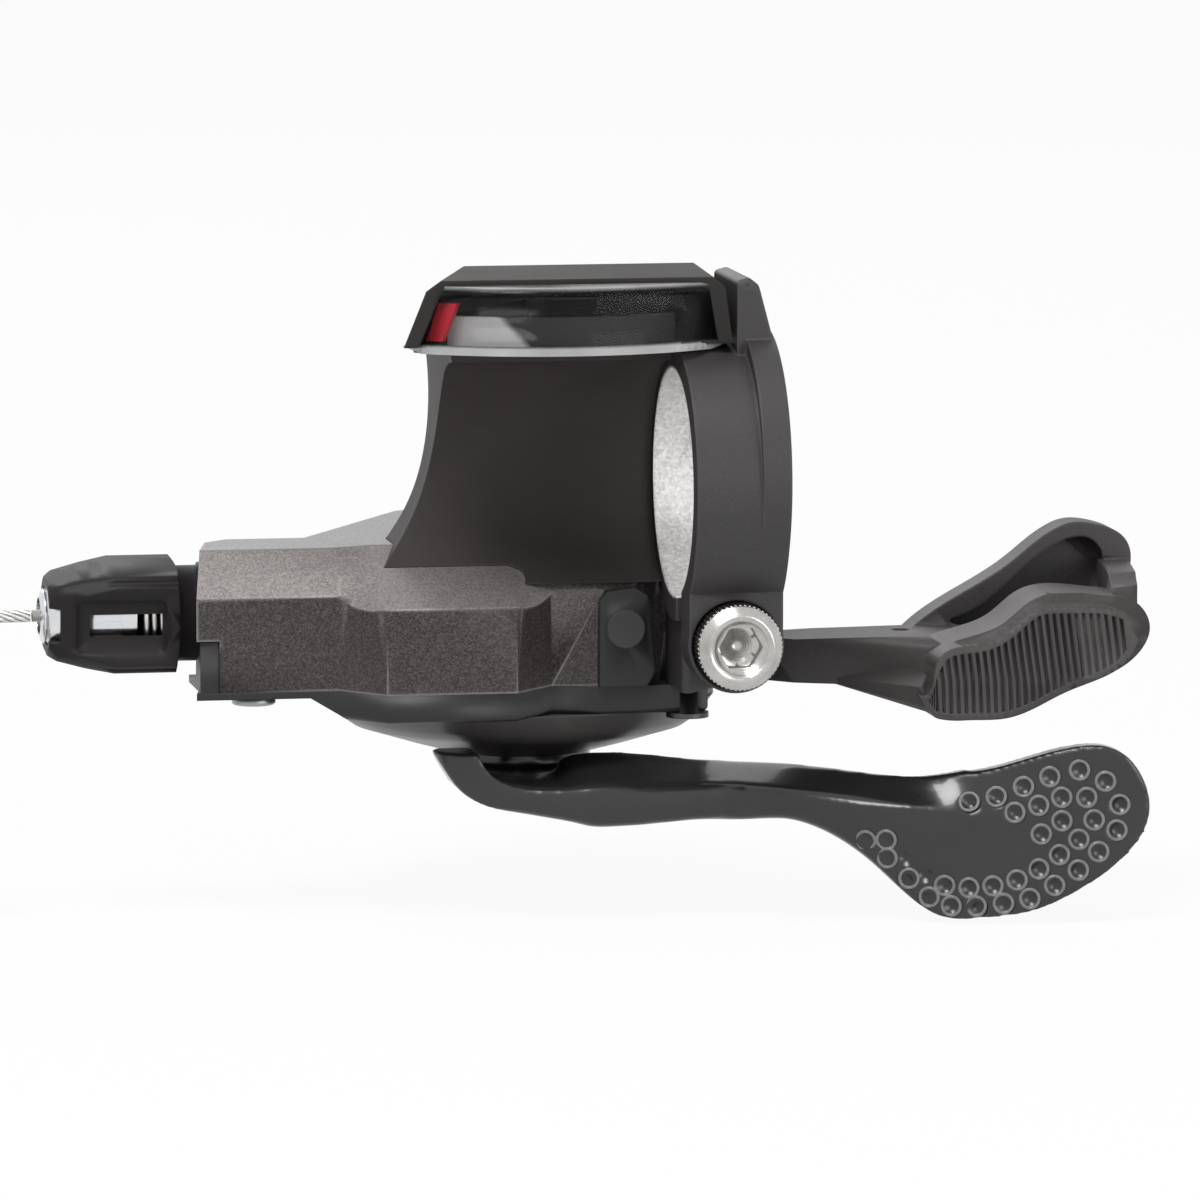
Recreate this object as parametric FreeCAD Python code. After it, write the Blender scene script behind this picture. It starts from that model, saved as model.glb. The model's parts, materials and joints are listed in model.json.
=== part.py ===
"""Right-hand trigger gear shifter for a flat handlebar, with a gear window and a bar clamp.

The handlebar's axis is X, towards the grip, and Z is up. The clamp's centre is the origin.
Y points forwards, away from the rider. All sizes are in millimetres.
"""
import FreeCAD
import Part
import math
import os

# Handlebar and clamp
BAR_D = 22.2
CLAMP_SLACK = 0.05
BAR_SPACE = 0.6
BAND_WIDTH = 9.2
BAND_WALL = 2.4
EAR_THICK = 4.6
EAR_R = 4.7
SPLIT_GAP = 2.8
LUG_DEPTH = 9.4
BOLT_D = 5.0
BOLT_DROP = 15.0
BOLT_HEAD_D = 8.2
BOLT_HEAD_H = 4.0
BOLT_HEX = 4.0
HORN_TOP = 20.3
RIB_RISE = 0.7

# Mechanism axis and the housing round it
AXLE_X = -16.0
AXLE_Y = 24.0
WALL = 1.6
TOP_Z = -7.0
SPLIT_Z = -20.6
BASE_THICK = 2.8
FIT_GAP = 0.3
RUN_GAP = 0.05
THREAD_GAP = 0.05

# Plan of the cover's near face
LEFT_X = -50.7
SIDE_Y = 6.0
NOSE_Y = 1.1
NOSE_X0 = -32.6
NOSE_X1 = -19.8
NOSE_RAMP = 4.2
SIDE_EDGE_Z = -11.4
NOSE_EDGE_Z = -12.2
BACK_Y = 19.0
COVER_END_ANGLE = -76.0

# Winder, ratchet and cable
GROOVE_R = 10.8
CABLE_Z = -13.5
CABLE_D = 1.2
WINDER_HALF_H = 1.8
RATCHET_R = 12.4
RATCHET_DEPTH = 1.5
RATCHET_THICK = 1.7
CLICK = 18.0
CLICKS = 9
AXLE_R = 3.0
AXLE_TOP_R = 2.0
SLEEVE_WALL = 1.6
PIN_R = 1.1
PAWL_BOSS_R = 1.9
PAWL_SPACE = 0.7

# Gear window
GEAR_MODULE = 0.5
PINION_TEETH = 13
SECTOR_TEETH = 30
SECTOR_MARGIN = 12.0
NEEDLE_SHAFT_R = 0.8
LENS_R = 22.0
LENS_WALL = 1.2
WINDOW_FLOOR_Z = 13.95
WINDOW_TOP_Z = 20.4
CAP_WALL = 1.4

# Cable adjuster
KNOB_R = 6.3
KNOB_FLAT = 4.9
KNOB_TILT = 9.0
KNOB_TIP_R = 3.95
KNOB_LENGTH = 14.8
BARREL_R = 3.3
ADJUSTER_BOLT_R = 2.5

# Levers
LEVER_THICK = 3.3
LEVER_PLATE_Z = -30.1
LEVER_HUB_R = 7.2
LEVER_HUB_DROP = 1.7
DIMPLE_D = 1.7
RELEASE_X = -1.5
RELEASE_Y = 17.0
RIB_PITCH = 0.74
RIB_WIDTH = 0.36
RIB_DEPTH = 0.4
RIB_LEAN = -1.1
PAD_RIM = 0.7

# Cable outside the shifter and its put-away coil
CABLE_END_X = -66.0
COIL_X = -85.0
COIL_TURN_R = 13.3
COIL_LAYERS = 5
COIL_ROWS = 6
COIL_PITCH = 1.25

BORE_R = BAR_D / 2 + CLAMP_SLACK
CLEAR_R = BAR_D / 2 + BAR_SPACE
BAND_R = BORE_R + BAND_WALL
HALF_BAND = BAND_WIDTH / 2
BASE_Z = SPLIT_Z - BASE_THICK
CABLE_Y = AXLE_Y - GROOVE_R
NEEDLE_Y = AXLE_Y - GEAR_MODULE * (PINION_TEETH + SECTOR_TEETH) / 2
CEILING_Z = TOP_Z - WALL
WINDER_FLANGE_R = RATCHET_R + 0.2
PAWL_PIN_R = RATCHET_R + PAWL_BOSS_R + 1.0
HOUSING_R = PAWL_PIN_R + PAWL_BOSS_R + PAWL_SPACE + WALL
HOUSING_Y = AXLE_Y - HOUSING_R

# Clamp places
EAR_Y1 = -SPLIT_GAP / 2 - 3.2
EAR_Y0 = EAR_Y1 - EAR_THICK
LUG_Y0 = EAR_Y1 + SPLIT_GAP
LUG_Y1 = LUG_Y0 + LUG_DEPTH
LUG_X0 = -4.0
HEAD_SEAT = 1.0
BOLT_END_Y = LUG_Y0 + 5.6
BRACKET_SCREW_X = -2.1
BRACKET_SCREW_Y = LUG_Y1 - 1.7
BRACKET_SCREW_R = 1.25
BRACKET_SCREW_TOP = SPLIT_Z + 2.8

# Housing places
CHORD_START = (-40.4, 15.3)
CHORD_END_ANGLE = 120.3
RELEASE_SLOT_Y0 = 8.8
RELEASE_SLOT_Y1 = 25.5
RELEASE_SLOT_TOP = -15.9
COVER_SCREW_ANGLES = (65.0, 112.0)
COVER_SCREW_RADIUS = 15.6
COVER_SCREW_R = 1.0
COVER_SCREW_HEAD_R = 1.8
COVER_SCREW_HEAD_H = 1.2
POST_R = 2.1
BOSS_R = 5.0
BOSS_STEM_R = 3.7
BOSS_X1 = LEFT_X + 8.5
MOUTH_X = LEFT_X + 4.8
NOTCH_X = LEFT_X + 2.3
NOTCH_Z = -15.5
PORT_X = -44.6
PORT_Y = 9.8
PORT_R = 2.15
PORT_SHANK_R = 1.2
PORT_SEAT_Z = BASE_Z + 0.75 * BASE_THICK
PIN_DEPTH = BASE_THICK / 2
FEED_PIN_ANGLE = 192.0
HOLD_PIN_ANGLE = FEED_PIN_ANGLE - 11 * CLICK
NOSE_ANGLE = 25.0
DISH_OPENING = LEVER_HUB_R + 0.4
SIDE_CAP_Y = HOUSING_Y - 0.2
SIDE_CAP_END_Y = HOUSING_Y + 4.5
SIDE_CAP_DISC = (-8.5, 5.7, 1.9)

# Mechanism places
WINDER_Z0 = CABLE_Z - WINDER_HALF_H
WINDER_Z1 = CABLE_Z + WINDER_HALF_H
RATCHET_Z0 = WINDER_Z0 - RATCHET_THICK
GEAR_Z0 = WINDER_Z1
GEAR_Z1 = GEAR_Z0 + 1.2
DRIVE_Z0 = SPLIT_Z + FIT_GAP
DRIVE_THICK = 1.2
SLEEVE_R = AXLE_R + RUN_GAP + SLEEVE_WALL
LEVER_BOTTOM_Z = LEVER_PLATE_Z - LEVER_THICK
LEVER_HUB_Z = LEVER_PLATE_Z - LEVER_HUB_DROP
AXLE_HEAD_R = 5.0
AXLE_HEAD_H = 1.0
NUT_H = 1.2
WINDER_HUB_R = 4.9
SPRING_ROOM_R = 8.4
SPRING_ROOM_FLOOR = CABLE_Z - 0.6
HEAD_ANGLE = CLICK * CLICKS - 90.0
HEAD_R = 1.9
GEAR_TURN = -90.0

# Window places
CAP_X0 = -31.8
CAP_X1 = 0.5
CAP_TAPER = 2.2
CAP_Y0 = -4.4
CAP_Y1 = 17.2
NECK_FRONT_Y = 17.0
NECK_X1 = -HALF_BAND - 0.4
FLOOR_THICK = 0.8
LENS_RIM_DROP = 0.6
LENS_RIM_OUT = 0.3
NEEDLE_SWEEP = CLICK * CLICKS * PINION_TEETH / SECTOR_TEETH
NEEDLE_R = LENS_R - LENS_WALL - FIT_GAP
DIAL_R = NEEDLE_R - 1.5
NECK_SCREW_X = (-23.5, -8.5)
NECK_SCREW_Y = 14.6
NECK_SCREW_R = 0.9
NECK_SCREW_TOP = TOP_Z + 3.4

# Adjuster places
KNOB_X1 = LEFT_X + 0.8
KNOB_X0 = KNOB_X1 - KNOB_LENGTH
CHAMBER_X0 = KNOB_X0 + 7.2
CHAMBER_X1 = KNOB_X1 - 1.6
BARREL_X0 = KNOB_X0 - 0.5
BARREL_X1 = CHAMBER_X0 + 0.3
ADJUSTER_END_X = BOSS_X1 - 1.0
WIRE_HOLE_R = CABLE_D / 2 + 0.2
CASING_R = 2.5
CASING_DEPTH = 5.5
FLAT = 2.75
CHAMBER_R = ADJUSTER_BOLT_R + 1.3
WINDOW_DEPTH = 0.75

# Main lever's outlines: rises are from the plate's top
ROOT_BOTTOM = ((-27.3, 3.2), (-26.3, 1.4), (-24.8, -0.6), (-21.5, -2.2), (-17.9, -2.9), (-13.4, -3.7),
               (-11.0, -4.0), (-6.0, -3.9), (0.5, -3.5))
ROOT_TOP = ((0.5, 0.2), (-7.5, -0.1), (-15.0, 0.0), (-19.8, 0.3), (-21.6, 0.9), (-22.6, 1.9), (-23.2, 3.2))
ROOT_NEAR = ((-21.5, 22.0), (-23.0, 15.5), (-25.4, 11.0), (-27.2, 8.0), (-26.4, 5.6), (-23.4, 3.4),
             (-18.5, 2.0), (-8.0, 1.1), (0.5, 1.2))
ROOT_FAR = ((0.5, 9.2), (-4.0, 12.5), (-7.5, 18.0))
ELBOW_Y = 9.4
PADDLE_EDGE = ((24.5, 1.1), (29.0, 2.2), (34.5, 3.8), (38.2, 3.7), (41.0, 0.8), (41.6, -3.1),
               (39.4, -6.7), (35.0, -10), (30.0, -12.3), (25.2, -13), (21.6, -12.9), (18.9, -11.3),
               (15.6, -8.2), (12.0, -5.5), (7.0, -3.6))
# Sections of the lever's arm across X: top, crease and bottom on the rider's side, then the far side
ARM_SECTIONS = (
    (-14.0, (12.0, 1.4), (1.6, 0.0), (2.0, -3.4), (5.0, -3.6), (11.6, -2.9), (13.6, 1.1)),
    (-7.5, (10.6, 2.3), (1.2, -0.1), (1.8, -3.6), (5.0, -3.8), (10.4, -2.9), (12.0, 1.7)),
    (-1.0, (9.4, 1.7), (1.2, -0.1), (1.8, -3.5), (5.0, -3.8), (9.2, -2.9), (10.8, 0.9)),
    (7.0, (7.4, 1.4), (0.4, -0.7), (0.8, -4.5), (4.0, -4.8), (7.6, -2.8), (9.0, 0.7)),
    (14.0, (3.8, 0.9), (-1.4, -1.7), (-1.2, -8.5), (1.4, -8.9), (4.0, -3.7), (5.6, 0.3)),
    (20.0, (0.2, 0.5), (-3.0, -2.3), (-3.4, -13.5), (-0.8, -13.9), (0.6, -4.7), (2.0, 0.3)),
    (26.0, (-2.6, 1.7), (-4.2, -2.9), (-5.2, -14.9), (-2.6, -15.1), (-1.2, -4.5), (-0.6, 1.7)),
    (32.0, (-4.8, 3.7), (-5.4, -2.9), (-6.6, -14.3), (-4.0, -14.5), (-2.8, -3.9), (-2.4, 3.7)),
    (38.0, (-6.6, 5.3), (-6.4, -1.9), (-7.4, -12.5), (-4.8, -12.5), (-3.9, -2.9), (-4.0, 5.3)),
    (43.5, (-8.0, 5.7), (-7.4, -1.4), (-8.0, -10.5), (-5.4, -10.5), (-4.9, -1.9), (-5.4, 5.7)),
)
OUTER_DIMPLES = ((24.3, -1.6), (26.9, -1.1), (29.5, -0.1), (32.0, 0.9), (34.8, 1.6), (37.3, 0.5),
                 (38.7, -1.8), (38.4, -4.3), (36.6, -6.4), (34.6, -8.2), (32.3, -9.7), (29.9, -11.0),
                 (27.5, -11.7), (24.9, -12.0), (22.4, -11.8), (19.9, -11.2), (18.0, -9.4), (16.3, -7.4),
                 (14.4, -5.5))
INNER_DIMPLES = ((28.6, -2.6), (30.9, -1.9), (33.1, -1.1), (35.5, -1.1), (36.2, -3.3), (33.1, -3.4),
                 (31.1, -4.7), (34.7, -5.2), (32.8, -6.7), (30.8, -8.1), (28.7, -9.2), (26.4, -9.8),
                 (24.1, -10.0), (21.8, -9.8), (19.8, -8.7), (18.0, -7.1), (16.3, -5.4))

# Release lever's outlines: rises are from the split's level
PAD_OUTLINE = ((15.6, -0.3), (19.7, 1.4), (21.7, 3.9), (25.2, 4.5), (28.7, 6.2), (31.0, 7.8),
               (33.8, 8), (40.3, 7), (41.4, 5.9), (41.1, 4.7), (39.8, 2.7), (33.8, -0.2),
               (27.7, -2.8), (24.2, -2.9), (19.6, -2.3))
BODY_OUTLINE = ((19.0, -0.8), (20.2, 2.6), (23.5, 4.4), (28.2, 6), (31.4, 8.4), (34.2, 9),
                (38.6, 8.6), (41.4, 8), (43.0, 5.6), (41.0, 2), (33.0, -0.2), (27.0, -1))
WING_OUTLINE = ((20.0, 1), (22.6, 4), (32.3, 10.1), (36.6, 13.3), (38.4, 14), (40.7, 13.9),
                (44.2, 12.1), (44.6, 11.1), (44.3, 7.1), (44.6, 3.4), (41.0, 1.6), (30.0, 0.2))
WING_HOLLOW = ((27.0, 4.8), (32.6, 8.6), (37.0, 11.9), (40.4, 12.4), (41.6, 11.2), (41.0, 7.2),
               (38.6, 4.6))
PAD_Y0 = -5.2
PAD_Y1 = -0.4
BODY_Y1 = 7.4
WING_Y0 = 15.6
WING_Y1 = 19.6
WING_HOLLOW_DEPTH = 2.4
RELEASE_Z0 = SPLIT_Z - 0.3
RELEASE_Z1 = SPLIT_Z + 4.0
INNER_Z0 = SPLIT_Z + FIT_GAP
INNER_Z1 = RATCHET_Z0 - FIT_GAP

# Coil places
COIL_Z = CABLE_Z - COIL_TURN_R
COIL_R1 = COIL_TURN_R + CABLE_D / 2
COIL_R0 = COIL_TURN_R - COIL_PITCH * (COIL_LAYERS - 1) - CABLE_D / 2
COIL_HALF = COIL_PITCH * (COIL_ROWS - 1) / 2 + CABLE_D / 2
TIE_WALL = 0.7
TIE_WIDTH = 3.0


def vec(x, y, z):
    return FreeCAD.Vector(x, y, z)


def block(x0, x1, y0, y1, z0, z1):
    return Part.makeBox(x1 - x0, y1 - y0, z1 - z0, vec(x0, y0, z0))


def rod_x(x0, x1, y, z, r):
    return Part.makeCylinder(r, x1 - x0, vec(x0, y, z), vec(1, 0, 0))


def rod_y(y0, y1, x, z, r):
    return Part.makeCylinder(r, y1 - y0, vec(x, y0, z), vec(0, 1, 0))


def rod_z(z0, z1, x, y, r):
    return Part.makeCylinder(r, z1 - z0, vec(x, y, z0), vec(0, 0, 1))


def closed_wire(points):
    return Part.makePolygon(list(points) + [points[0]])


def prism_x(points, x0, x1):
    """A straight bar along X with its (y, z) section given."""
    face = Part.Face(closed_wire([vec(x0, y, z) for y, z in points]))
    return face.extrude(vec(x1 - x0, 0, 0))


def prism_y(points, y0, y1):
    """A straight bar along Y with its (x, z) section given."""
    face = Part.Face(closed_wire([vec(x, y0, z) for x, z in points]))
    return face.extrude(vec(0, y1 - y0, 0))


def prism_z(points, z0, z1):
    """A plate in plan with its (x, y) outline given."""
    face = Part.Face(closed_wire([vec(x, y, z0) for x, y in points]))
    return face.extrude(vec(0, 0, z1 - z0))


def turned_z(profile, x, y):
    """A ring or disc turned about a vertical axis from its (radius, z) profile."""
    face = Part.Face(closed_wire([vec(x + r, y, z) for r, z in profile]))
    return face.revolve(vec(x, y, 0), vec(0, 0, 1), 360)


def turned_x(profile, y, z):
    """A ring or disc turned about an axis along X from its (x, radius) profile."""
    face = Part.Face(closed_wire([vec(x, y, z + r) for x, r in profile]))
    return face.revolve(vec(0, y, z), vec(1, 0, 0), 360)


def polar(angle, radius):
    """The plan point at an angle and a radius from the mechanism's axle."""
    turn = math.radians(angle)
    return AXLE_X + radius * math.cos(turn), AXLE_Y + radius * math.sin(turn)


def above(points, level):
    """An outline drawn from a level, moved up to it."""
    return [(side, level + rise) for side, rise in points]


def merged(first, *others):
    return first.fuse(list(others)).removeSplitter()


def rounded(shape, radius, chosen):
    """Fillet the edges that the test picks."""
    return shape.makeFillet(radius, [edge for edge in shape.Edges if chosen(edge)])


def upright(edge):
    box = edge.BoundBox
    return box.ZLength > 1.0 and box.XLength < 0.01 and box.YLength < 0.01


# Handlebar clamp


def clamp_band():
    """The split band: ring, bolt ear, rear lug that stands on the base, and the horn by the window."""
    ring = rod_x(-HALF_BAND, HALF_BAND, 0, 0, BAND_R)
    rib = rod_x(1.8, HALF_BAND, 0.35, 0.9, BAND_R + RIB_RISE)
    horn = prism_y([(0.9, BORE_R), (0.9, HORN_TOP - 0.3), (2.1, HORN_TOP), (3.0, HORN_TOP - 0.7),
                    (HALF_BAND, BAND_R), (HALF_BAND, BORE_R)], -4.6, 8.0)
    horn = rounded(horn, 0.5, lambda edge: edge.BoundBox.ZMin > BAND_R + 0.5)
    ear_top = block(-HALF_BAND, HALF_BAND, EAR_Y0, EAR_Y1, -BOLT_DROP, -BORE_R * 0.7)
    ear = rod_y(EAR_Y0, EAR_Y1, 0, -BOLT_DROP, EAR_R)
    lug = block(LUG_X0, HALF_BAND, LUG_Y0, LUG_Y1, SPLIT_Z, -BORE_R * 0.8)
    lug = rounded(lug, 0.8, lambda edge: upright(edge) and edge.BoundBox.YMin < LUG_Y0 + 0.1)
    body = merged(ring, rib, horn, ear_top, ear, lug)
    bore = rod_x(-40, 40, 0, 0, BORE_R)
    split = block(-10, 10, EAR_Y1, LUG_Y0, SPLIT_Z - 1, -BORE_R * 0.6)
    passage = rod_y(EAR_Y0 - 1, EAR_Y1 + 1, 0, -BOLT_DROP, BOLT_D / 2 + FIT_GAP / 2)
    thread = rod_y(LUG_Y0 - 1, BOLT_END_Y + 0.5, 0, -BOLT_DROP, BOLT_D / 2 + THREAD_GAP)
    seat = rod_y(EAR_Y0 - 1, EAR_Y0 + HEAD_SEAT, 0, -BOLT_DROP, BOLT_HEAD_D / 2 + FIT_GAP)
    screw = rod_z(SPLIT_Z - 1, BRACKET_SCREW_TOP + 0.4, BRACKET_SCREW_X, BRACKET_SCREW_Y, BRACKET_SCREW_R)
    return body.cut([bore, split, passage, thread, seat, screw])


def hexagon(across_flats, x, z):
    corner = across_flats / math.sqrt(3)
    turns = [math.radians(60 * k) for k in range(6)]
    return [(x + corner * math.cos(t), z + corner * math.sin(t)) for t in turns]


def clamp_bolt():
    """A socket-head bolt from the rider's side, with a bevelled face and a hexagon socket."""
    seat_y = EAR_Y0 + HEAD_SEAT
    face_y = seat_y - BOLT_HEAD_H
    radius = BOLT_HEAD_D / 2
    profile = [(0, face_y), (radius - 0.9, face_y), (radius, face_y + 0.7), (radius, seat_y),
               (BOLT_D / 2, seat_y), (BOLT_D / 2, BOLT_END_Y - 0.6), (BOLT_D / 2 - 0.6, BOLT_END_Y),
               (0, BOLT_END_Y)]
    face = Part.Face(closed_wire([vec(r, y, -BOLT_DROP) for r, y in profile]))
    bolt = face.revolve(vec(0, 0, -BOLT_DROP), vec(0, 1, 0), 360)
    socket = prism_y(hexagon(BOLT_HEX, 0, -BOLT_DROP), face_y - 1, face_y + 2.6)
    tip = Part.makeCone(BOLT_HEX / 2, 0.3, 1.0, vec(0, face_y + 2.6, -BOLT_DROP), vec(0, 1, 0))
    rim = rod_y(face_y - 1, face_y + 0.35, 0, -BOLT_DROP, BOLT_HEX / 2 + 0.65)
    return bolt.cut([socket, tip, rim])


def bracket_screw():
    """The screw from below that holds the clamp's lug on the base."""
    head_z = BASE_Z - 0.5
    shank = rod_z(BASE_Z, BRACKET_SCREW_TOP, BRACKET_SCREW_X, BRACKET_SCREW_Y, BRACKET_SCREW_R)
    head = rod_z(head_z, BASE_Z, BRACKET_SCREW_X, BRACKET_SCREW_Y, 2.1)
    slot = block(BRACKET_SCREW_X - 1.3, BRACKET_SCREW_X + 1.3,
                 BRACKET_SCREW_Y - 0.25, BRACKET_SCREW_Y + 0.25, head_z - 1, head_z + 0.3)
    return merged(head, shank).cut(slot)


# Housing

def wedge(y0, z0, y1):
    """A section above the sloping edge that runs from (y0, z0) up to the flat top at y1."""
    slope = (TOP_Z - z0) / (y1 - y0)
    low = y0 - 12
    return [(low, z0 - 12 * slope), (y1 + 2, TOP_Z + 2 * slope), (y1 + 2, TOP_Z + 12), (low, TOP_Z + 12)]


def near_slopes():
    """What is cut off the top of the near face: a steep slope at the sides and a flat one at the nose."""
    side = wedge(SIDE_Y, SIDE_EDGE_Z, SIDE_Y + 4.2)
    nose = wedge(NOSE_Y, NOSE_EDGE_Z, NOSE_Y + 10.9)
    stations = [(LEFT_X - 10, side), (NOSE_X0 - NOSE_RAMP, side), (NOSE_X0, nose), (NOSE_X1, nose),
                (NOSE_X1 + NOSE_RAMP, side), (12.0, side)]
    wires = [closed_wire([vec(x, y, z) for y, z in section]) for x, section in stations]
    return Part.makeLoft(wires, True, True)


def housing_outline(inset, right_points, start_angle):
    """The housing's plan, drawn inwards by an inset: facets, round back, flat beside the cable."""
    radius = HOUSING_R - inset
    first = polar(start_angle, radius)
    last = polar(CHORD_END_ANGLE, radius)
    middle = polar((start_angle + CHORD_END_ANGLE) / 2, radius)
    ramp = NOSE_RAMP
    back_x = CHORD_START[0] + (BACK_Y - CHORD_START[1]) * 0.57 + inset * 1.15
    near = [(LEFT_X + inset, SIDE_Y + inset), (NOSE_X0 - ramp + inset * 0.5, SIDE_Y + inset),
            (NOSE_X0 + inset * 0.5, NOSE_Y + inset), (NOSE_X1 - inset * 0.5, NOSE_Y + inset),
            (NOSE_X1 + ramp - inset * 0.5, SIDE_Y + inset)]
    points = [vec(x, y, 0) for x, y in near + right_points + [first]]
    edges = [Part.LineSegment(a, b).toShape() for a, b in zip(points[:-1], points[1:])]
    edges.append(Part.Arc(points[-1], vec(*middle, 0), vec(*last, 0)).toShape())
    tail = [vec(*last, 0), vec(back_x, BACK_Y - inset, 0), vec(LEFT_X + 4.6, BACK_Y - inset, 0),
            vec(LEFT_X + 2.2 + inset, BACK_Y - 2.4 - inset, 0), points[0]]
    edges += [Part.LineSegment(a, b).toShape() for a, b in zip(tail[:-1], tail[1:])]
    return Part.Face(Part.Wire(edges))


def raised(face, z0, z1):
    lifted = face.copy()
    lifted.translate(vec(0, 0, z0))
    return lifted.extrude(vec(0, 0, z1 - z0))


def cover_form(inset, slopes, z0, z1):
    return raised(housing_outline(inset, [], COVER_END_ANGLE), z0, z1).cut(slopes)


def cover_outside():
    return cover_form(0, near_slopes(), SPLIT_Z, TOP_Z)


def cover_posts():
    """Screw posts that hang from the cover's ceiling down to the base."""
    return [rod_z(SPLIT_Z, CEILING_Z + 0.5, *polar(angle, COVER_SCREW_RADIUS), POST_R)
            for angle in COVER_SCREW_ANGLES]


def cover_screw_bodies(radius, z0, z1):
    return [rod_z(z0, z1, *polar(angle, COVER_SCREW_RADIUS), radius) for angle in COVER_SCREW_ANGLES]


def unit_cover():
    """The painted cover: faceted near face, flat top, round back, open below and at the lever's slot."""
    slopes = near_slopes()

    def near_top(edge):
        box = edge.BoundBox
        return box.ZMin > NOSE_EDGE_Z - 0.1 and box.YMax < BACK_Y - 3 and box.XLength > 3.5

    outside = rounded(cover_form(0, slopes, SPLIT_Z, TOP_Z), 0.35, near_top)
    inner_slopes = slopes.copy()
    inner_slopes.translate(vec(0, 0.62 * WALL, -0.82 * WALL))
    inside = cover_form(WALL, inner_slopes, SPLIT_Z - 1, CEILING_Z)
    inside = inside.cut(rod_x(-HALF_BAND - FIT_GAP - WALL, 20, 0, 0, BAND_R + RIB_RISE + FIT_GAP + WALL))
    shell = outside.cut(inside)
    shell = merged(shell, *cover_posts())
    slot = block(-4, 12, RELEASE_SLOT_Y0, RELEASE_SLOT_Y1, SPLIT_Z - 1, RELEASE_SLOT_TOP)
    mouth = rod_x(LEFT_X - 2, MOUTH_X, CABLE_Y, CABLE_Z, BOSS_R)
    notch = block(LEFT_X - 1, NOTCH_X, SIDE_Y - 1, BACK_Y + 1, SPLIT_Z - 1, NOTCH_Z)
    band_room = rod_x(-HALF_BAND - FIT_GAP, 20, 0, 0, BAND_R + RIB_RISE + FIT_GAP)
    shaft = rod_z(CEILING_Z - 1, TOP_Z + 1, AXLE_X, NEEDLE_Y, NEEDLE_SHAFT_R + FIT_GAP)
    screws = cover_screw_bodies(COVER_SCREW_R, SPLIT_Z - 1, SPLIT_Z + 7)
    return shell.cut([slot, mouth, notch, band_room, shaft] + screws + neck_screw_bodies(NECK_SCREW_R))


def base_plate():
    """The black base: same plan as the cover, a pad for the clamp's lug and a boss for the adjuster."""
    right = [(-11.0, 5.0), (-1.2, 5.0), (0.0, 6.2)]
    plate = raised(housing_outline(0, right, -25.0), BASE_Z, SPLIT_Z)
    plate = rounded(plate, 0.5, lambda edge: abs(edge.BoundBox.ZMax - BASE_Z) < 0.01)
    under_left = prism_y([(LEFT_X - 3, BASE_Z - 1), (-36.0, BASE_Z - 1), (-36.0, BASE_Z),
                          (-39.5, PORT_SEAT_Z), (LEFT_X - 3, PORT_SEAT_Z)], -5, 40)
    face_x = KNOB_X1 + FIT_GAP
    boss = rod_x(face_x, MOUTH_X, CABLE_Y, CABLE_Z, BOSS_R)
    stem = rod_x(face_x, BOSS_X1, CABLE_Y, CABLE_Z, BOSS_STEM_R)
    foot = block(MOUTH_X, BOSS_X1, CABLE_Y - BOSS_STEM_R, CABLE_Y + BOSS_STEM_R, SPLIT_Z, CABLE_Z)
    corner = block(LEFT_X + 0.4, NOTCH_X, SIDE_Y + FIT_GAP, BACK_Y - 4, SPLIT_Z, NOTCH_Z)
    knob_room = rod_x(LEFT_X - 5, face_x, CABLE_Y, CABLE_Z, KNOB_R + FIT_GAP)
    body = merged(plate.cut(under_left), boss, stem, foot, corner.cut(knob_room))
    thread = rod_x(LEFT_X - 3, BOSS_X1 + 1, CABLE_Y, CABLE_Z, ADJUSTER_BOLT_R + THREAD_GAP)
    sleeve = rod_z(BASE_Z - 1, SPLIT_Z + 1, AXLE_X, AXLE_Y, AXLE_R + RUN_GAP + SLEEVE_WALL + FIT_GAP)
    lug_screw = rod_z(BASE_Z - 1, SPLIT_Z + 1, BRACKET_SCREW_X, BRACKET_SCREW_Y, BRACKET_SCREW_R)
    screws = cover_screw_bodies(COVER_SCREW_R, BASE_Z - 1, SPLIT_Z + 1)
    screws += cover_screw_bodies(COVER_SCREW_HEAD_R, BASE_Z - 1, BASE_Z + COVER_SCREW_HEAD_H)
    pins = [rod_z(SPLIT_Z - PIN_DEPTH, SPLIT_Z + 1, x, y, PIN_R)
            for x, y in (hold_pin_place(), (RELEASE_X, RELEASE_Y))]
    port = rod_z(BASE_Z - 1, SPLIT_Z, PORT_X, PORT_Y, PORT_SHANK_R)
    return body.cut([thread, sleeve, lug_screw, port] + screws + pins)


def hold_pin_place():
    return polar(HOLD_PIN_ANGLE, PAWL_PIN_R)


def port_screw():
    """The plug screw of the cable port under the left end."""
    under = PORT_SEAT_Z
    head = rounded(rod_z(under - 0.95, under, PORT_X, PORT_Y, PORT_R), 0.3,
                   lambda edge: edge.BoundBox.ZMax < under - 0.9)
    shank = rod_z(under, SPLIT_Z, PORT_X, PORT_Y, PORT_SHANK_R)
    slot = block(PORT_X - 1.4, PORT_X + 1.4, PORT_Y - 0.3, PORT_Y + 0.3, under - 2, under - 0.5)
    return merged(head, shank).cut(slot)


def cover_screws():
    """The two screws that hold the cover down on the base."""
    shanks = cover_screw_bodies(COVER_SCREW_R, BASE_Z, SPLIT_Z + 6.5)
    heads = cover_screw_bodies(COVER_SCREW_HEAD_R, BASE_Z, BASE_Z + COVER_SCREW_HEAD_H)
    return Part.makeCompound([merged(head, shank) for head, shank in zip(heads, shanks)])


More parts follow.
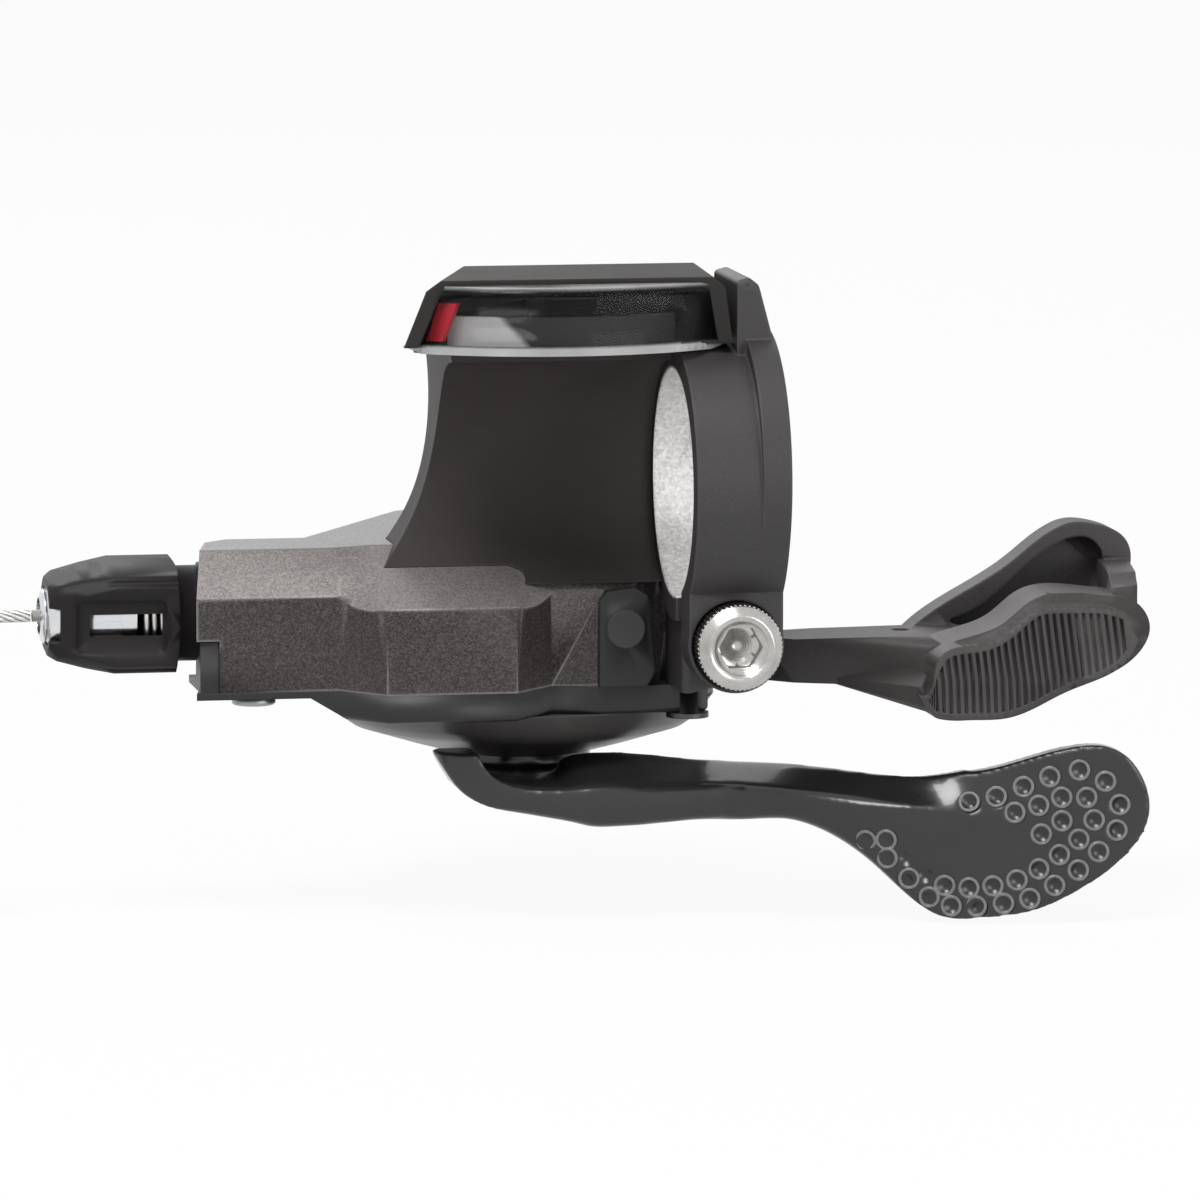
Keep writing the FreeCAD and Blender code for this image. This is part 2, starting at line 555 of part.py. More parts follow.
def lower_cover():
    """The turned dish under the base that covers the lever's spring."""
    outer = [(HOUSING_R, BASE_Z), (HOUSING_R - 1.5, BASE_Z - 2.0), (HOUSING_R - 2.8, BASE_Z - 2.9),
             (HOUSING_R - 8.0, BASE_Z - 4.5), (DISH_OPENING, BASE_Z - 5.6)]
    inner = [(DISH_OPENING, BASE_Z - 4.4), (HOUSING_R - 8.2, BASE_Z - 3.3), (HOUSING_R - 3.6, BASE_Z - 1.8),
             (HOUSING_R - 2.9, BASE_Z)]
    return turned_z(outer + inner, AXLE_X, AXLE_Y)


def side_cap():
    """The black plate beside the clamp with a bare round disc, seated on the cover's round wall."""
    outline = above([(-11.1, 0), (-11.1, 8.4), (-10.3, 9.4), (-7.6, 9.7), (-6.3, 8.9), (-5.6, 1.4),
                     (-6.4, 0)], SPLIT_Z)
    plate = prism_y(outline, SIDE_CAP_Y, SIDE_CAP_END_Y)
    x, rise, radius = SIDE_CAP_DISC
    disc = rod_y(SIDE_CAP_Y - 0.2, SIDE_CAP_Y + 1.0, x, SPLIT_Z + rise, radius)
    return merged(plate, disc).cut(cover_outside())


# Winding mechanism


def main_axle():
    """The stepped axle, its head below the lever and its thread up in the nut under the ceiling."""
    head_z = LEVER_HUB_Z - FIT_GAP
    low_z = head_z - AXLE_HEAD_H
    profile = [(0, low_z), (AXLE_HEAD_R - 0.5, low_z), (AXLE_HEAD_R, low_z + 0.5), (AXLE_HEAD_R, head_z),
               (AXLE_R, head_z), (AXLE_R, GEAR_Z0), (AXLE_TOP_R, GEAR_Z0), (AXLE_TOP_R, CEILING_Z),
               (0, CEILING_Z)]
    axle = turned_z(profile, AXLE_X, AXLE_Y)
    slot = prism_y(hexagon(3.0, AXLE_X, 0), -2.0, 0.0)
    slot.rotate(vec(AXLE_X, 0, 0), vec(1, 0, 0), 90)
    slot.translate(vec(0, AXLE_Y, head_z))
    return axle.cut(slot)


def axle_nut():
    points = [(x, z + AXLE_Y) for x, z in hexagon(6.0, AXLE_X, 0)]
    nut = prism_z(points, CEILING_Z - NUT_H, CEILING_Z)
    return nut.cut(rod_z(CEILING_Z - 3, CEILING_Z + 1, AXLE_X, AXLE_Y, AXLE_TOP_R))


def toothed_disc(teeth, module, z0, z1, thin):
    """A spur gear blank in plan about the origin, with straight flanks."""
    pitch_r = module * teeth / 2
    rows = ((-0.33, pitch_r - 1.2 * module), (-0.21 * thin, pitch_r), (-0.09, pitch_r + 0.85 * module),
            (0.09, pitch_r + 0.85 * module), (0.21 * thin, pitch_r), (0.33, pitch_r - 1.2 * module))
    points = []
    for tooth in range(teeth):
        for share, radius in rows:
            turn = 2 * math.pi * (tooth + share) / teeth
            points.append((radius * math.cos(turn), radius * math.sin(turn)))
    return prism_z(points, z0, z1)


def cable_winder():
    """The drum that winds the cable, with its groove, spring room, anchor and the window's pinion."""
    groove_r = GROOVE_R - CABLE_D / 2 - 0.08
    mouth = 1.15
    rim = WINDER_FLANGE_R
    bore_r = AXLE_R + RUN_GAP
    floor = SPRING_ROOM_FLOOR
    profile = [(bore_r, WINDER_Z0), (rim, WINDER_Z0), (rim, CABLE_Z - mouth), (groove_r, CABLE_Z - 0.72),
               (groove_r, CABLE_Z + 0.72), (rim, CABLE_Z + mouth), (rim, WINDER_Z1),
               (SPRING_ROOM_R, WINDER_Z1), (SPRING_ROOM_R, floor), (WINDER_HUB_R, floor),
               (WINDER_HUB_R, WINDER_Z1), (bore_r, WINDER_Z1)]
    drum = turned_z(profile, AXLE_X, AXLE_Y)
    pinion = toothed_disc(PINION_TEETH, GEAR_MODULE, GEAR_Z0, GEAR_Z1, 1.0)
    pinion.rotate(vec(0, 0, 0), vec(0, 0, 1), GEAR_TURN)
    pinion.translate(vec(AXLE_X, AXLE_Y, 0))
    anchor = rod_z(CABLE_Z - 1.25, WINDER_Z1 + 1, *polar(HEAD_ANGLE + 9.0, GROOVE_R), HEAD_R + 0.1)
    bore = rod_z(WINDER_Z1 - 0.5, GEAR_Z1 + 1, AXLE_X, AXLE_Y, AXLE_TOP_R + RUN_GAP)
    drum = drum.cut(anchor)
    return merged(drum, pinion.cut(bore))


def cable_head():
    """The cast head of the cable, lying in the winder's anchor."""
    return rod_z(CABLE_Z - 1.25, CABLE_Z + 1.35, *polar(HEAD_ANGLE + 9.0, GROOVE_R), HEAD_R)


def ratchet_wheel():
    """The index wheel under the winder, with one saw tooth for each click round the whole turn."""
    points = []
    teeth = round(360 / CLICK)
    for tooth in range(teeth):
        stop = FEED_PIN_ANGLE + NOSE_ANGLE + 1.0 + CLICK * tooth
        points.append(polar(stop - 6.0, RATCHET_R - RATCHET_DEPTH))
        points.append(polar(stop, RATCHET_R - RATCHET_DEPTH))
        points.append(polar(stop + 0.8, RATCHET_R))
        points.append(polar(stop + 2.0, RATCHET_R))
    wheel = prism_z(points, RATCHET_Z0, WINDER_Z0)
    return wheel.cut(rod_z(RATCHET_Z0 - 1, WINDER_Z0 + 1, AXLE_X, AXLE_Y, AXLE_R + RUN_GAP))


def pawl(pin_angle):
    """A pawl on its pin, its nose held just clear of the teeth's tips, as while it rides over them."""
    pin = polar(pin_angle, PAWL_PIN_R)
    nose_angle = pin_angle + NOSE_ANGLE
    clear = RATCHET_R + FIT_GAP
    outline = [polar(pin_angle - 4.5, PAWL_PIN_R - PAWL_BOSS_R * 0.75), polar(nose_angle - 9, clear + 0.5),
               polar(nose_angle, clear), polar(nose_angle + 0.5, clear + 1.3),
               polar(nose_angle - 9, clear + 2.6), polar(pin_angle + 3, PAWL_PIN_R + PAWL_BOSS_R * 0.95)]
    z0 = RATCHET_Z0 + 0.1
    z1 = WINDER_Z0 - 0.1
    arm = prism_z(outline, z0, z1)
    boss = rod_z(z0, z1, *pin, PAWL_BOSS_R)
    hole = rod_z(z0 - 1, z1 + 1, *pin, PIN_R + RUN_GAP)
    return merged(arm, boss).cut(hole)


def hold_pawl():
    return pawl(HOLD_PIN_ANGLE)


def feed_pawl():
    return pawl(FEED_PIN_ANGLE)


def hold_pin():
    """The hold pawl's pin, standing in the base, with a collar under the pawl."""
    place = hold_pin_place()
    shank = rod_z(SPLIT_Z - PIN_DEPTH, WINDER_Z0 + 0.5, *place, PIN_R)
    collar = rod_z(SPLIT_Z, RATCHET_Z0 - 0.1, *place, PAWL_BOSS_R - 0.1)
    return merged(shank, collar)


def drive_plate():
    """The plate on the lever's sleeve that carries the feed pawl."""
    pin = polar(FEED_PIN_ANGLE, PAWL_PIN_R)
    z1 = DRIVE_Z0 + DRIVE_THICK
    disc = rod_z(DRIVE_Z0, z1, AXLE_X, AXLE_Y, 7.6)
    arm = prism_z([polar(FEED_PIN_ANGLE - 24, 7.0), polar(FEED_PIN_ANGLE + 24, 7.0),
                   polar(FEED_PIN_ANGLE + 7, PAWL_PIN_R), polar(FEED_PIN_ANGLE - 7, PAWL_PIN_R)],
                  DRIVE_Z0, z1)
    eye = rod_z(DRIVE_Z0, z1, *pin, PAWL_BOSS_R)
    bore = rod_z(DRIVE_Z0 - 1, z1 + 1, AXLE_X, AXLE_Y, SLEEVE_R)
    hole = rod_z(DRIVE_Z0 - 1, z1 + 1, *pin, PIN_R)
    return merged(disc, arm, eye).cut([bore, hole])


def feed_pin():
    place = polar(FEED_PIN_ANGLE, PAWL_PIN_R)
    z1 = DRIVE_Z0 + DRIVE_THICK
    shank = rod_z(DRIVE_Z0, WINDER_Z0 + 0.3, *place, PIN_R)
    collar = rod_z(z1, RATCHET_Z0 - 0.1, *place, PAWL_BOSS_R - 0.1)
    return merged(shank, collar)


def lever_sleeve():
    """The bush pressed into the lever, turning on the axle and carrying the drive plate."""
    top = DRIVE_Z0 + DRIVE_THICK
    bore_r = AXLE_R + RUN_GAP
    profile = [(bore_r, LEVER_HUB_Z), (SLEEVE_R, LEVER_HUB_Z), (SLEEVE_R, top), (bore_r, top)]
    return turned_z(profile, AXLE_X, AXLE_Y)


def coil_spring(x, y, z0, radius, wire_r, turns, pitch):
    """A helical spring about a vertical axis."""
    helix = Part.makeHelix(pitch, pitch * turns, radius)
    section = Part.Wire(Part.makeCircle(wire_r, vec(radius, 0, 0), vec(0, 1, 0)))
    spring = Part.Wire(helix).makePipeShell([section], True, True)
    spring.translate(vec(x, y, z0 + wire_r))
    return spring


def lever_spring():
    """The lever's return spring in the dish."""
    return coil_spring(AXLE_X, AXLE_Y, BASE_Z - 3.6, 6.4, 0.45, 3, 1.05)


def winder_spring():
    """The winder's return spring in the drum's spring room."""
    return coil_spring(AXLE_X, AXLE_Y, SPRING_ROOM_FLOOR + 0.1, 6.7, 0.3, 2, 0.72)


# Gear window


def sector(radius0, radius1, half_angle, z0, z1):
    """A curved wall about the needle's shaft, facing the rider."""
    ring = rod_z(z0, z1, AXLE_X, NEEDLE_Y, radius1).cut(rod_z(z0 - 1, z1 + 1, AXLE_X, NEEDLE_Y, radius0))
    reach = radius1 * 2
    spread = math.radians(half_angle)
    aside = reach * math.sin(spread)
    near_y = NEEDLE_Y - reach * math.cos(spread)
    fan = prism_z([(AXLE_X, NEEDLE_Y), (AXLE_X - aside, near_y), (AXLE_X + aside, near_y)], z0 - 1, z1 + 1)
    return ring.common(fan)


def display_neck():
    """The moulded neck that curves round the bar from the cover up to the window's floor."""
    left = [(-26.7, WINDOW_FLOOR_Z), (-26.4, 3.0), (-28.4, -3.8), (-31.2, -8.0), (-33.4, -10.5)]
    edge = Part.BSplineCurve()
    edge.interpolate([vec(x, 0, z) for x, z in left])
    start = vec(left[0][0], 0, left[0][1])
    end = vec(left[-1][0], 0, left[-1][1])
    corners = [end, vec(NECK_X1, 0, end.z), vec(NECK_X1, 0, start.z), start]
    sides = [Part.LineSegment(a, b).toShape() for a, b in zip(corners[:-1], corners[1:])]
    outline = Part.Face(Part.Wire([edge.toShape()] + sides))
    stem = outline.extrude(vec(0, NECK_FRONT_Y, 0))
    lens_edge = rod_z(WINDOW_FLOOR_Z - FLOOR_THICK, WINDOW_FLOOR_Z, AXLE_X, NEEDLE_Y, LENS_R - LENS_WALL)
    floor = lens_edge.common(block(CAP_X0 + 0.4, NECK_X1, -20, NECK_FRONT_Y, 0, 20))
    body = merged(stem, floor)
    bar = rod_x(-60, 30, 0, 0, CLEAR_R + FIT_GAP)
    shaft = rod_z(-20, 20, AXLE_X, NEEDLE_Y, NEEDLE_SHAFT_R + RUN_GAP)
    return body.cut([bar, shaft, cover_outside()] + neck_screw_bodies(NECK_SCREW_R))


def display_cap():
    """The window's hood: flat top, two slanted cheeks and a front wall, open to the rider for the lens."""
    outline = [(CAP_X0, WINDOW_FLOOR_Z), (CAP_X0 + CAP_TAPER, WINDOW_TOP_Z - 1.0),
               (CAP_X0 + CAP_TAPER + 1.4, WINDOW_TOP_Z), (CAP_X1 - CAP_TAPER - 1.4, WINDOW_TOP_Z),
               (CAP_X1 - CAP_TAPER, WINDOW_TOP_Z - 1.0), (CAP_X1, WINDOW_FLOOR_Z)]
    hood = prism_y(outline, CAP_Y0, CAP_Y1)
    low = WINDOW_FLOOR_Z - 1
    high = WINDOW_TOP_Z - CAP_WALL
    room = [(cheek_line(-1, low), low), (cheek_line(-1, high), high),
            (cheek_line(1, high), high), (cheek_line(1, low), low)]
    hollow = prism_y(room, CAP_Y0 - 1, CAP_Y1 - CAP_WALL)
    return hood.cut(hollow)


def cheek_line(side, z):
    """The inner face of a cheek at a height."""
    rise = (z - WINDOW_FLOOR_Z) / (WINDOW_TOP_Z - CAP_WALL - WINDOW_FLOOR_Z)
    inwards = CAP_WALL + CAP_TAPER * rise
    return CAP_X0 + inwards if side < 0 else CAP_X1 - inwards


def display_lens():
    """The clear lens, bowed about the needle's shaft, its upper edge rolled back on to the hood."""
    half = 44.0
    low = WINDOW_FLOOR_Z
    high = WINDOW_TOP_Z - 0.5
    wall = sector(LENS_R - LENS_WALL, LENS_R, half, low, high)
    lip = sector(LENS_R - 6.0, LENS_R, half, high - LENS_WALL, high)
    lens = merged(wall, lip)
    lens = rounded(lens, 0.9, lambda edge: edge.BoundBox.ZMin > high - 0.1
                   and edge.BoundBox.YMin < NEEDLE_Y - LENS_R + 0.1)
    between = prism_y([(cheek_line(-1, low), low), (cheek_line(-1, high), high),
                       (cheek_line(1, high), high), (cheek_line(1, low), low)], -20, CAP_Y0 + 3.0)
    top_plate = block(-60, 30, CAP_Y0, 30, WINDOW_TOP_Z - CAP_WALL, WINDOW_TOP_Z + 1)
    lens = lens.common(between).cut(top_plate)
    rim = sector(LENS_R - LENS_WALL, LENS_R + LENS_RIM_OUT, 47.0, low - LENS_RIM_DROP, low)
    band = rod_x(-HALF_BAND - FIT_GAP, HALF_BAND, 0, 0, BAND_R + FIT_GAP)
    return merged(lens, rim).cut(band)


def display_dial():
    """The curved dial behind the needle."""
    return sector(DIAL_R - 0.8, DIAL_R, 36.0, WINDOW_FLOOR_Z, WINDOW_TOP_Z - 3.6)


def turned_left(shape):
    """Swing a piece of the needle from straight ahead to its rest at the window's left end."""
    shape.rotate(vec(AXLE_X, NEEDLE_Y, 0), vec(0, 0, 1), 0.5 - NEEDLE_SWEEP / 2)
    return shape


def display_needle():
    """The pointer: an arm over the dial with a slanted flag before it."""
    arm_z = WINDOW_TOP_Z - 3.2
    hub = rod_z(arm_z, arm_z + 1.0, AXLE_X, NEEDLE_Y, 2.2)
    arm = block(AXLE_X - 0.7, AXLE_X + 0.7, NEEDLE_Y - NEEDLE_R + 0.3, NEEDLE_Y, arm_z, arm_z + 1.0)
    flag = prism_y([(AXLE_X - 2.0, WINDOW_FLOOR_Z + 0.5), (AXLE_X - 0.3, WINDOW_FLOOR_Z + 0.5),
                    (AXLE_X + 1.3, arm_z + 1.0), (AXLE_X - 0.7, arm_z + 1.0)],
                   NEEDLE_Y - NEEDLE_R, NEEDLE_Y - NEEDLE_R + 0.7)
    bore = rod_z(arm_z - 1, arm_z + 2, AXLE_X, NEEDLE_Y, NEEDLE_SHAFT_R)
    return turned_left(merged(hub, arm, flag).cut(bore))


def needle_shaft():
    """The thin shaft through the neck, with the toothed sector that the winder's pinion turns."""
    shaft = rod_z(GEAR_Z0, WINDOW_TOP_Z - 2.2, AXLE_X, NEEDLE_Y, NEEDLE_SHAFT_R)
    gear = toothed_disc(SECTOR_TEETH, GEAR_MODULE, GEAR_Z0 + 0.1, GEAR_Z1 - 0.1, 1.0)
    shift = 180.0 / SECTOR_TEETH
    gear.rotate(vec(0, 0, 0), vec(0, 0, 1), 90.0 + shift)
    gear.translate(vec(AXLE_X, NEEDLE_Y, 0))
    reach = GEAR_MODULE * SECTOR_TEETH
    middle = NEEDLE_SWEEP / 2
    spread = middle + SECTOR_MARGIN
    turns = [math.radians(middle + side * spread) for side in (-1, 1)]
    rays = [(AXLE_X + reach * math.sin(turn), NEEDLE_Y + reach * math.cos(turn)) for turn in turns]
    fan = prism_z([(AXLE_X, NEEDLE_Y)] + rays[::-1], GEAR_Z0 - 1, GEAR_Z1 + 1)
    hub = rod_z(GEAR_Z0 + 0.1, GEAR_Z1 - 0.1, AXLE_X, NEEDLE_Y, 1.8)
    return merged(shaft, gear.common(fan), hub)


def neck_screw_bodies(radius):
    return [rod_z(CEILING_Z, NECK_SCREW_TOP, x, NECK_SCREW_Y, radius) for x in NECK_SCREW_X]


def neck_screws():
    """The two screws from inside the cover that hold the neck."""
    heads = [rod_z(CEILING_Z - 0.8, CEILING_Z, x, NECK_SCREW_Y, 1.6) for x in NECK_SCREW_X]
    shanks = neck_screw_bodies(NECK_SCREW_R)
    return Part.makeCompound([merged(head, shank) for head, shank in zip(heads, shanks)])


# Cable adjuster


def knob_section(x, half):
    """A square across the knob's axis, tilted as the knob stands at rest."""
    wire = closed_wire([vec(x, y, z) for y, z in ((-half, -half), (half, -half), (half, half), (-half, half))])
    wire.rotate(vec(0, 0, 0), vec(1, 0, 0), KNOB_TILT)
    wire.translate(vec(0, CABLE_Y, CABLE_Z))
    return wire


def tilted(shape):
    shape.rotate(vec(0, CABLE_Y, CABLE_Z), vec(1, 0, 0), KNOB_TILT)
    return shape


def adjuster_knob():
    """The moulded knob: tapered, four flats with rounded corners, a recessed sight slot on two sides."""
    neck_r = KNOB_R - 1.6
    outer = [(KNOB_X0, 0.0), (KNOB_X0, KNOB_TIP_R), (KNOB_X0 + 0.8, KNOB_TIP_R + 0.9),
             (KNOB_X0 + 3.6, KNOB_R - 0.75), (KNOB_X0 + 6.4, KNOB_R), (KNOB_X1 - 2.3, KNOB_R),
             (KNOB_X1 - 2.0, neck_r), (KNOB_X1, neck_r), (KNOB_X1, 0.0)]
    stations = ((KNOB_X0 - 0.1, 0.72 * KNOB_FLAT), (KNOB_X0 + 3.6, 0.92 * KNOB_FLAT),
                (KNOB_X0 + 6.4, KNOB_FLAT), (KNOB_X1 + 0.1, KNOB_FLAT))
    square = Part.makeLoft([knob_section(x, half) for x, half in stations], True, True)
    body = turned_x(outer, CABLE_Y, CABLE_Z).common(square)
    creases = []
    for quarter in range(4):
        crease = rod_x(KNOB_X0 + 2.0, KNOB_X1 - 2.2, CABLE_Y, CABLE_Z + KNOB_R, 0.25)
        crease.rotate(vec(0, CABLE_Y, CABLE_Z), vec(1, 0, 0), KNOB_TILT + 45.0 + 90.0 * quarter)
        creases.append(crease)
    floor = KNOB_FLAT - WINDOW_DEPTH
    windows = []
    for y0, y1 in ((CABLE_Y - KNOB_R - 1, CABLE_Y - floor), (CABLE_Y + floor, CABLE_Y + KNOB_R + 1)):
        window = block(KNOB_X0 + 2.6, KNOB_X1 - 3.4, y0, y1, CABLE_Z - 2.7, CABLE_Z + 2.7)
        windows.append(tilted(rounded(window, 0.7, lambda edge: edge.BoundBox.YLength > 1)))
    slot = tilted(block(KNOB_X0 + 3.9, KNOB_X1 - 3.7, CABLE_Y - 9, CABLE_Y + 9, CABLE_Z - 1.15, CABLE_Z + 1.15))
    notch = tilted(block(KNOB_X0 - 1, KNOB_X0 + 1.1, CABLE_Y - 9, CABLE_Y + 9, CABLE_Z - 1.7, CABLE_Z + 1.7))
    barrel = rod_x(KNOB_X0 - 1, CHAMBER_X0 + 1, CABLE_Y, CABLE_Z, BARREL_R + RUN_GAP)
    flats = block(KNOB_X0 - 2, CHAMBER_X0 + 2, CABLE_Y - 9, CABLE_Y + 9, CABLE_Z - FLAT - RUN_GAP,
                  CABLE_Z + FLAT + RUN_GAP)
    chamber = rod_x(CHAMBER_X0, CHAMBER_X1, CABLE_Y, CABLE_Z, CHAMBER_R)
    neck = rod_x(CHAMBER_X1 - 1, KNOB_X1 + 1, CABLE_Y, CABLE_Z, ADJUSTER_BOLT_R + RUN_GAP)
    return body.cut(creases + windows + [slot, notch, barrel.common(flats), chamber, neck])


def adjuster_bolt():
    """The hollow bolt: a flatted barrel that takes the casing's end, and a thread in the base's boss."""
    barrel = rod_x(BARREL_X0, BARREL_X1, CABLE_Y, CABLE_Z, BARREL_R)
    flats = block(BARREL_X0 - 1, BARREL_X1 + 1, CABLE_Y - 9, CABLE_Y + 9, CABLE_Z - FLAT, CABLE_Z + FLAT)
    barrel = barrel.common(flats)
    head = turned_x([(BARREL_X0 - 1.0, 0), (BARREL_X0 - 1.0, BARREL_R - 0.7),
                     (BARREL_X0 - 0.6, BARREL_R + 0.1), (BARREL_X0, BARREL_R + 0.5), (BARREL_X0, 0)],
                    CABLE_Y, CABLE_Z)
    thread = rod_x(BARREL_X1, ADJUSTER_END_X, CABLE_Y, CABLE_Z, ADJUSTER_BOLT_R)
    wire = rod_x(BARREL_X0 - 2, ADJUSTER_END_X + 1, CABLE_Y, CABLE_Z, WIRE_HOLE_R)
    casing = rod_x(BARREL_X0 - 2, BARREL_X0 - 1.0 + CASING_DEPTH, CABLE_Y, CABLE_Z, CASING_R)
    return merged(barrel, head, thread).cut([wire, casing])


def adjuster_spring():
    """The spring that presses the knob's clicks against the housing."""
    length = CHAMBER_X1 - BARREL_X1
    wire_r = 0.35
    turns = 5
    spring = coil_spring(0, 0, 0, ADJUSTER_BOLT_R + 0.75, wire_r, turns, (length - 2 * wire_r) / turns)
    spring.rotate(vec(0, 0, 0), vec(0, 1, 0), 90)
    spring.translate(vec(BARREL_X1, CABLE_Y, CABLE_Z))
    return spring


# Levers


def paddle_outline():
    """The paddle's outline from the rider's side, open towards the arm."""
    tip = Part.BSplineCurve()
    edge = [vec(x, 0, LEVER_PLATE_Z + z) for x, z in PADDLE_EDGE]
    tip.interpolate(edge)
    high = LEVER_PLATE_Z + 10.0
    left = ARM_SECTIONS[0][0] - 1.0
    corners = [edge[-1], vec(left, 0, LEVER_BOTTOM_Z - 1.0), vec(left, 0, high), vec(20.0, 0, high), edge[0]]
    sides = [Part.LineSegment(a, b).toShape() for a, b in zip(corners[:-1], corners[1:])]
    face = Part.Face(Part.Wire([tip.toShape()] + sides))
    face.translate(vec(0, -30, 0))
    return face.extrude(vec(0, 60, 0))


def through(points):
    """A smooth open curve through points in plan or in elevation."""
    curve = Part.BSplineCurve()
    curve.interpolate([vec(*point) for point in points])
    return curve.toShape()


def straight(first, second):
    return Part.LineSegment(vec(*first), vec(*second)).toShape()


def lever_plate():
    """The root of the main lever: a bent bar whose end turns up in an elbow beside the dish."""
    near = [(x, y, LEVER_BOTTOM_Z - 2) for x, y in ROOT_NEAR]
    far = [(x, y, LEVER_BOTTOM_Z - 2) for x, y in ROOT_FAR]
    plan = Part.Face(Part.Wire([through(near), straight(near[-1], far[0]), through(far),
                                straight(far[-1], near[0])])).extrude(vec(0, 0, 10))
    low = [(x, -1, z) for x, z in above(ROOT_BOTTOM, LEVER_PLATE_Z)]
    high = [(x, -1, z) for x, z in above(ROOT_TOP, LEVER_PLATE_Z)]
    side = Part.Face(Part.Wire([through(low), straight(low[-1], high[0]), through(high),
                                straight(high[-1], low[0])])).extrude(vec(0, 30, 0))
    under_dish = block(-40, 10, ELBOW_Y, 40, LEVER_PLATE_Z, BASE_Z)
    return plan.common(side).cut(under_dish)


def lever_arm():
    wires = [closed_wire([vec(x, y, LEVER_PLATE_Z + z) for y, z in section]) for x, *section in ARM_SECTIONS]
    return Part.makeLoft(wires, True, False).common(paddle_outline())


def near_face(shape, x, z):
    """How far towards the rider a shape reaches at a place in the front view."""
    ray = Part.makeLine(vec(x, -40, z), vec(x, 40, z))
    return shape.common(ray).BoundBox.YMin


def dimple_pits(arm):
    """Shallow round pits in the paddle, two rows that follow its outline."""
    pits = []
    ball = DIMPLE_D * 0.62
    for x, rise in OUTER_DIMPLES + INNER_DIMPLES:
        z = LEVER_PLATE_Z + rise
        face_y = near_face(arm, x, z)
        pits.append(Part.makeSphere(ball, vec(x, face_y - ball * 0.45, z)))
    return pits


def main_lever():
    """The forged thumb lever: flat root, twisted arm and dished paddle with its pits."""
    arm = lever_arm()
    hub = rod_z(LEVER_HUB_Z, BASE_Z - 5.0, AXLE_X, AXLE_Y, LEVER_HUB_R)
    body = merged(lever_plate(), hub, arm)
    bore = rod_z(LEVER_BOTTOM_Z - 3, BASE_Z, AXLE_X, AXLE_Y, SLEEVE_R)
    head_room = rod_z(LEVER_BOTTOM_Z - 3, LEVER_HUB_Z, AXLE_X, AXLE_Y, AXLE_HEAD_R + 2 * FIT_GAP)
    return body.cut([bore, head_room] + dimple_pits(arm))


def smooth_face(points, y):
    """A face across Y inside a smooth closed curve through (x, z) points."""
    curve = Part.BSplineCurve()
    curve.interpolate(Points=[vec(x, y, z) for x, z in points], PeriodicFlag=True)
    arcs = [arc.toShape() for arc in curve.toBiArcs(0.01)]
    return Part.Face(Part.Wire(Part.__sortEdges__(arcs)))


def smooth_y(points, y0, y1):
    return smooth_face(above(points, SPLIT_Z), y0).extrude(vec(0, y1 - y0, 0))


def pad_grooves(face_cut):
    """The grooves between the pad's ribs, kept inside a plain rim."""
    rim = smooth_face(above(PAD_OUTLINE, SPLIT_Z), PAD_Y0 - 1).makeOffset2D(-PAD_RIM)
    zone = rim.extrude(vec(0, PAD_Y1 - PAD_Y0, 0))
    deeper = face_cut.copy()
    deeper.translate(vec(0, RIB_DEPTH, 0))
    room = deeper.common(zone)
    x_values = [x for x, z in PAD_OUTLINE]
    count = int((max(x_values) - min(x_values)) / RIB_PITCH)
    made = []
    for k in range(count):
        x = min(x_values) + RIB_PITCH * k
        far_x = x + RIB_PITCH - RIB_WIDTH
        groove = above([(x, -4.4), (far_x, -4.4), (far_x + RIB_LEAN, 9.6), (x + RIB_LEAN, 9.6)], SPLIT_Z)
        made += prism_y(groove, PAD_Y0 - 2, PAD_Y1).common(room).Solids
    return Part.makeCompound(made)


def release_lever():
    """The moulded two-way release lever: pivot plate, arm, ribbed thumb pad and the finger wing beyond."""
    plate = prism_z([(-4.6, 14.6), (1.5, 11.6), (7.5, 9.0), (9.0, 14.0), (2.0, 19.8), (-4.6, 20.2)],
                    INNER_Z0, INNER_Z1)
    eye = rod_z(INNER_Z0, INNER_Z1, RELEASE_X, RELEASE_Y, 3.0)
    arm = prism_z([(6.0, 9.5), (8.7, 6.7), (15.0, 4.0), (22.0, 1.0), (26.0, 3.0), (26.0, 16.6), (12.0, 15.2),
                   (6.4, 13.6)], RELEASE_Z0, RELEASE_Z1)
    lean = prism_x(above([(PAD_Y0 - 3, 10.6), (PAD_Y0 + 2.4, 10.6), (PAD_Y0, 1.1), (PAD_Y0 + 1.0, -5.4),
                          (PAD_Y0 - 3, -5.4)], SPLIT_Z), 10, 50)
    pad = smooth_y(PAD_OUTLINE, PAD_Y0, PAD_Y1).cut(lean).cut(pad_grooves(lean))
    back = smooth_y(BODY_OUTLINE, PAD_Y1, BODY_Y1)
    wing_in = WING_Y0 + 1
    floor = prism_z([(22.0, BODY_Y1 - 1), (41.0, BODY_Y1 - 1), (43.6, wing_in), (23.0, wing_in)],
                    SPLIT_Z + 0.4, SPLIT_Z + 3.2)
    post = prism_z([(39.6, PAD_Y1 + 2), (42.4, PAD_Y1 + 3), (44.5, wing_in), (41.4, wing_in)],
                   SPLIT_Z + 1.6, SPLIT_Z + 10.2)
    wing = smooth_y(WING_OUTLINE, WING_Y0, WING_Y1)
    hollow = smooth_y(WING_HOLLOW, WING_Y0 - 1, WING_Y0 + WING_HOLLOW_DEPTH)
    body = merged(plate, eye, arm, pad, back, floor, post, wing.cut(hollow))
    hole = rod_z(INNER_Z0 - 1, INNER_Z1 + 1, RELEASE_X, RELEASE_Y, PIN_R + RUN_GAP)
    sight = rod_z(RELEASE_Z0 - 1, RELEASE_Z1 + 1, 20.6, 12.6, 0.9)
    bar = rod_x(-5, 60, 0, 0, CLEAR_R)
    return body.cut([hole, sight, bar])


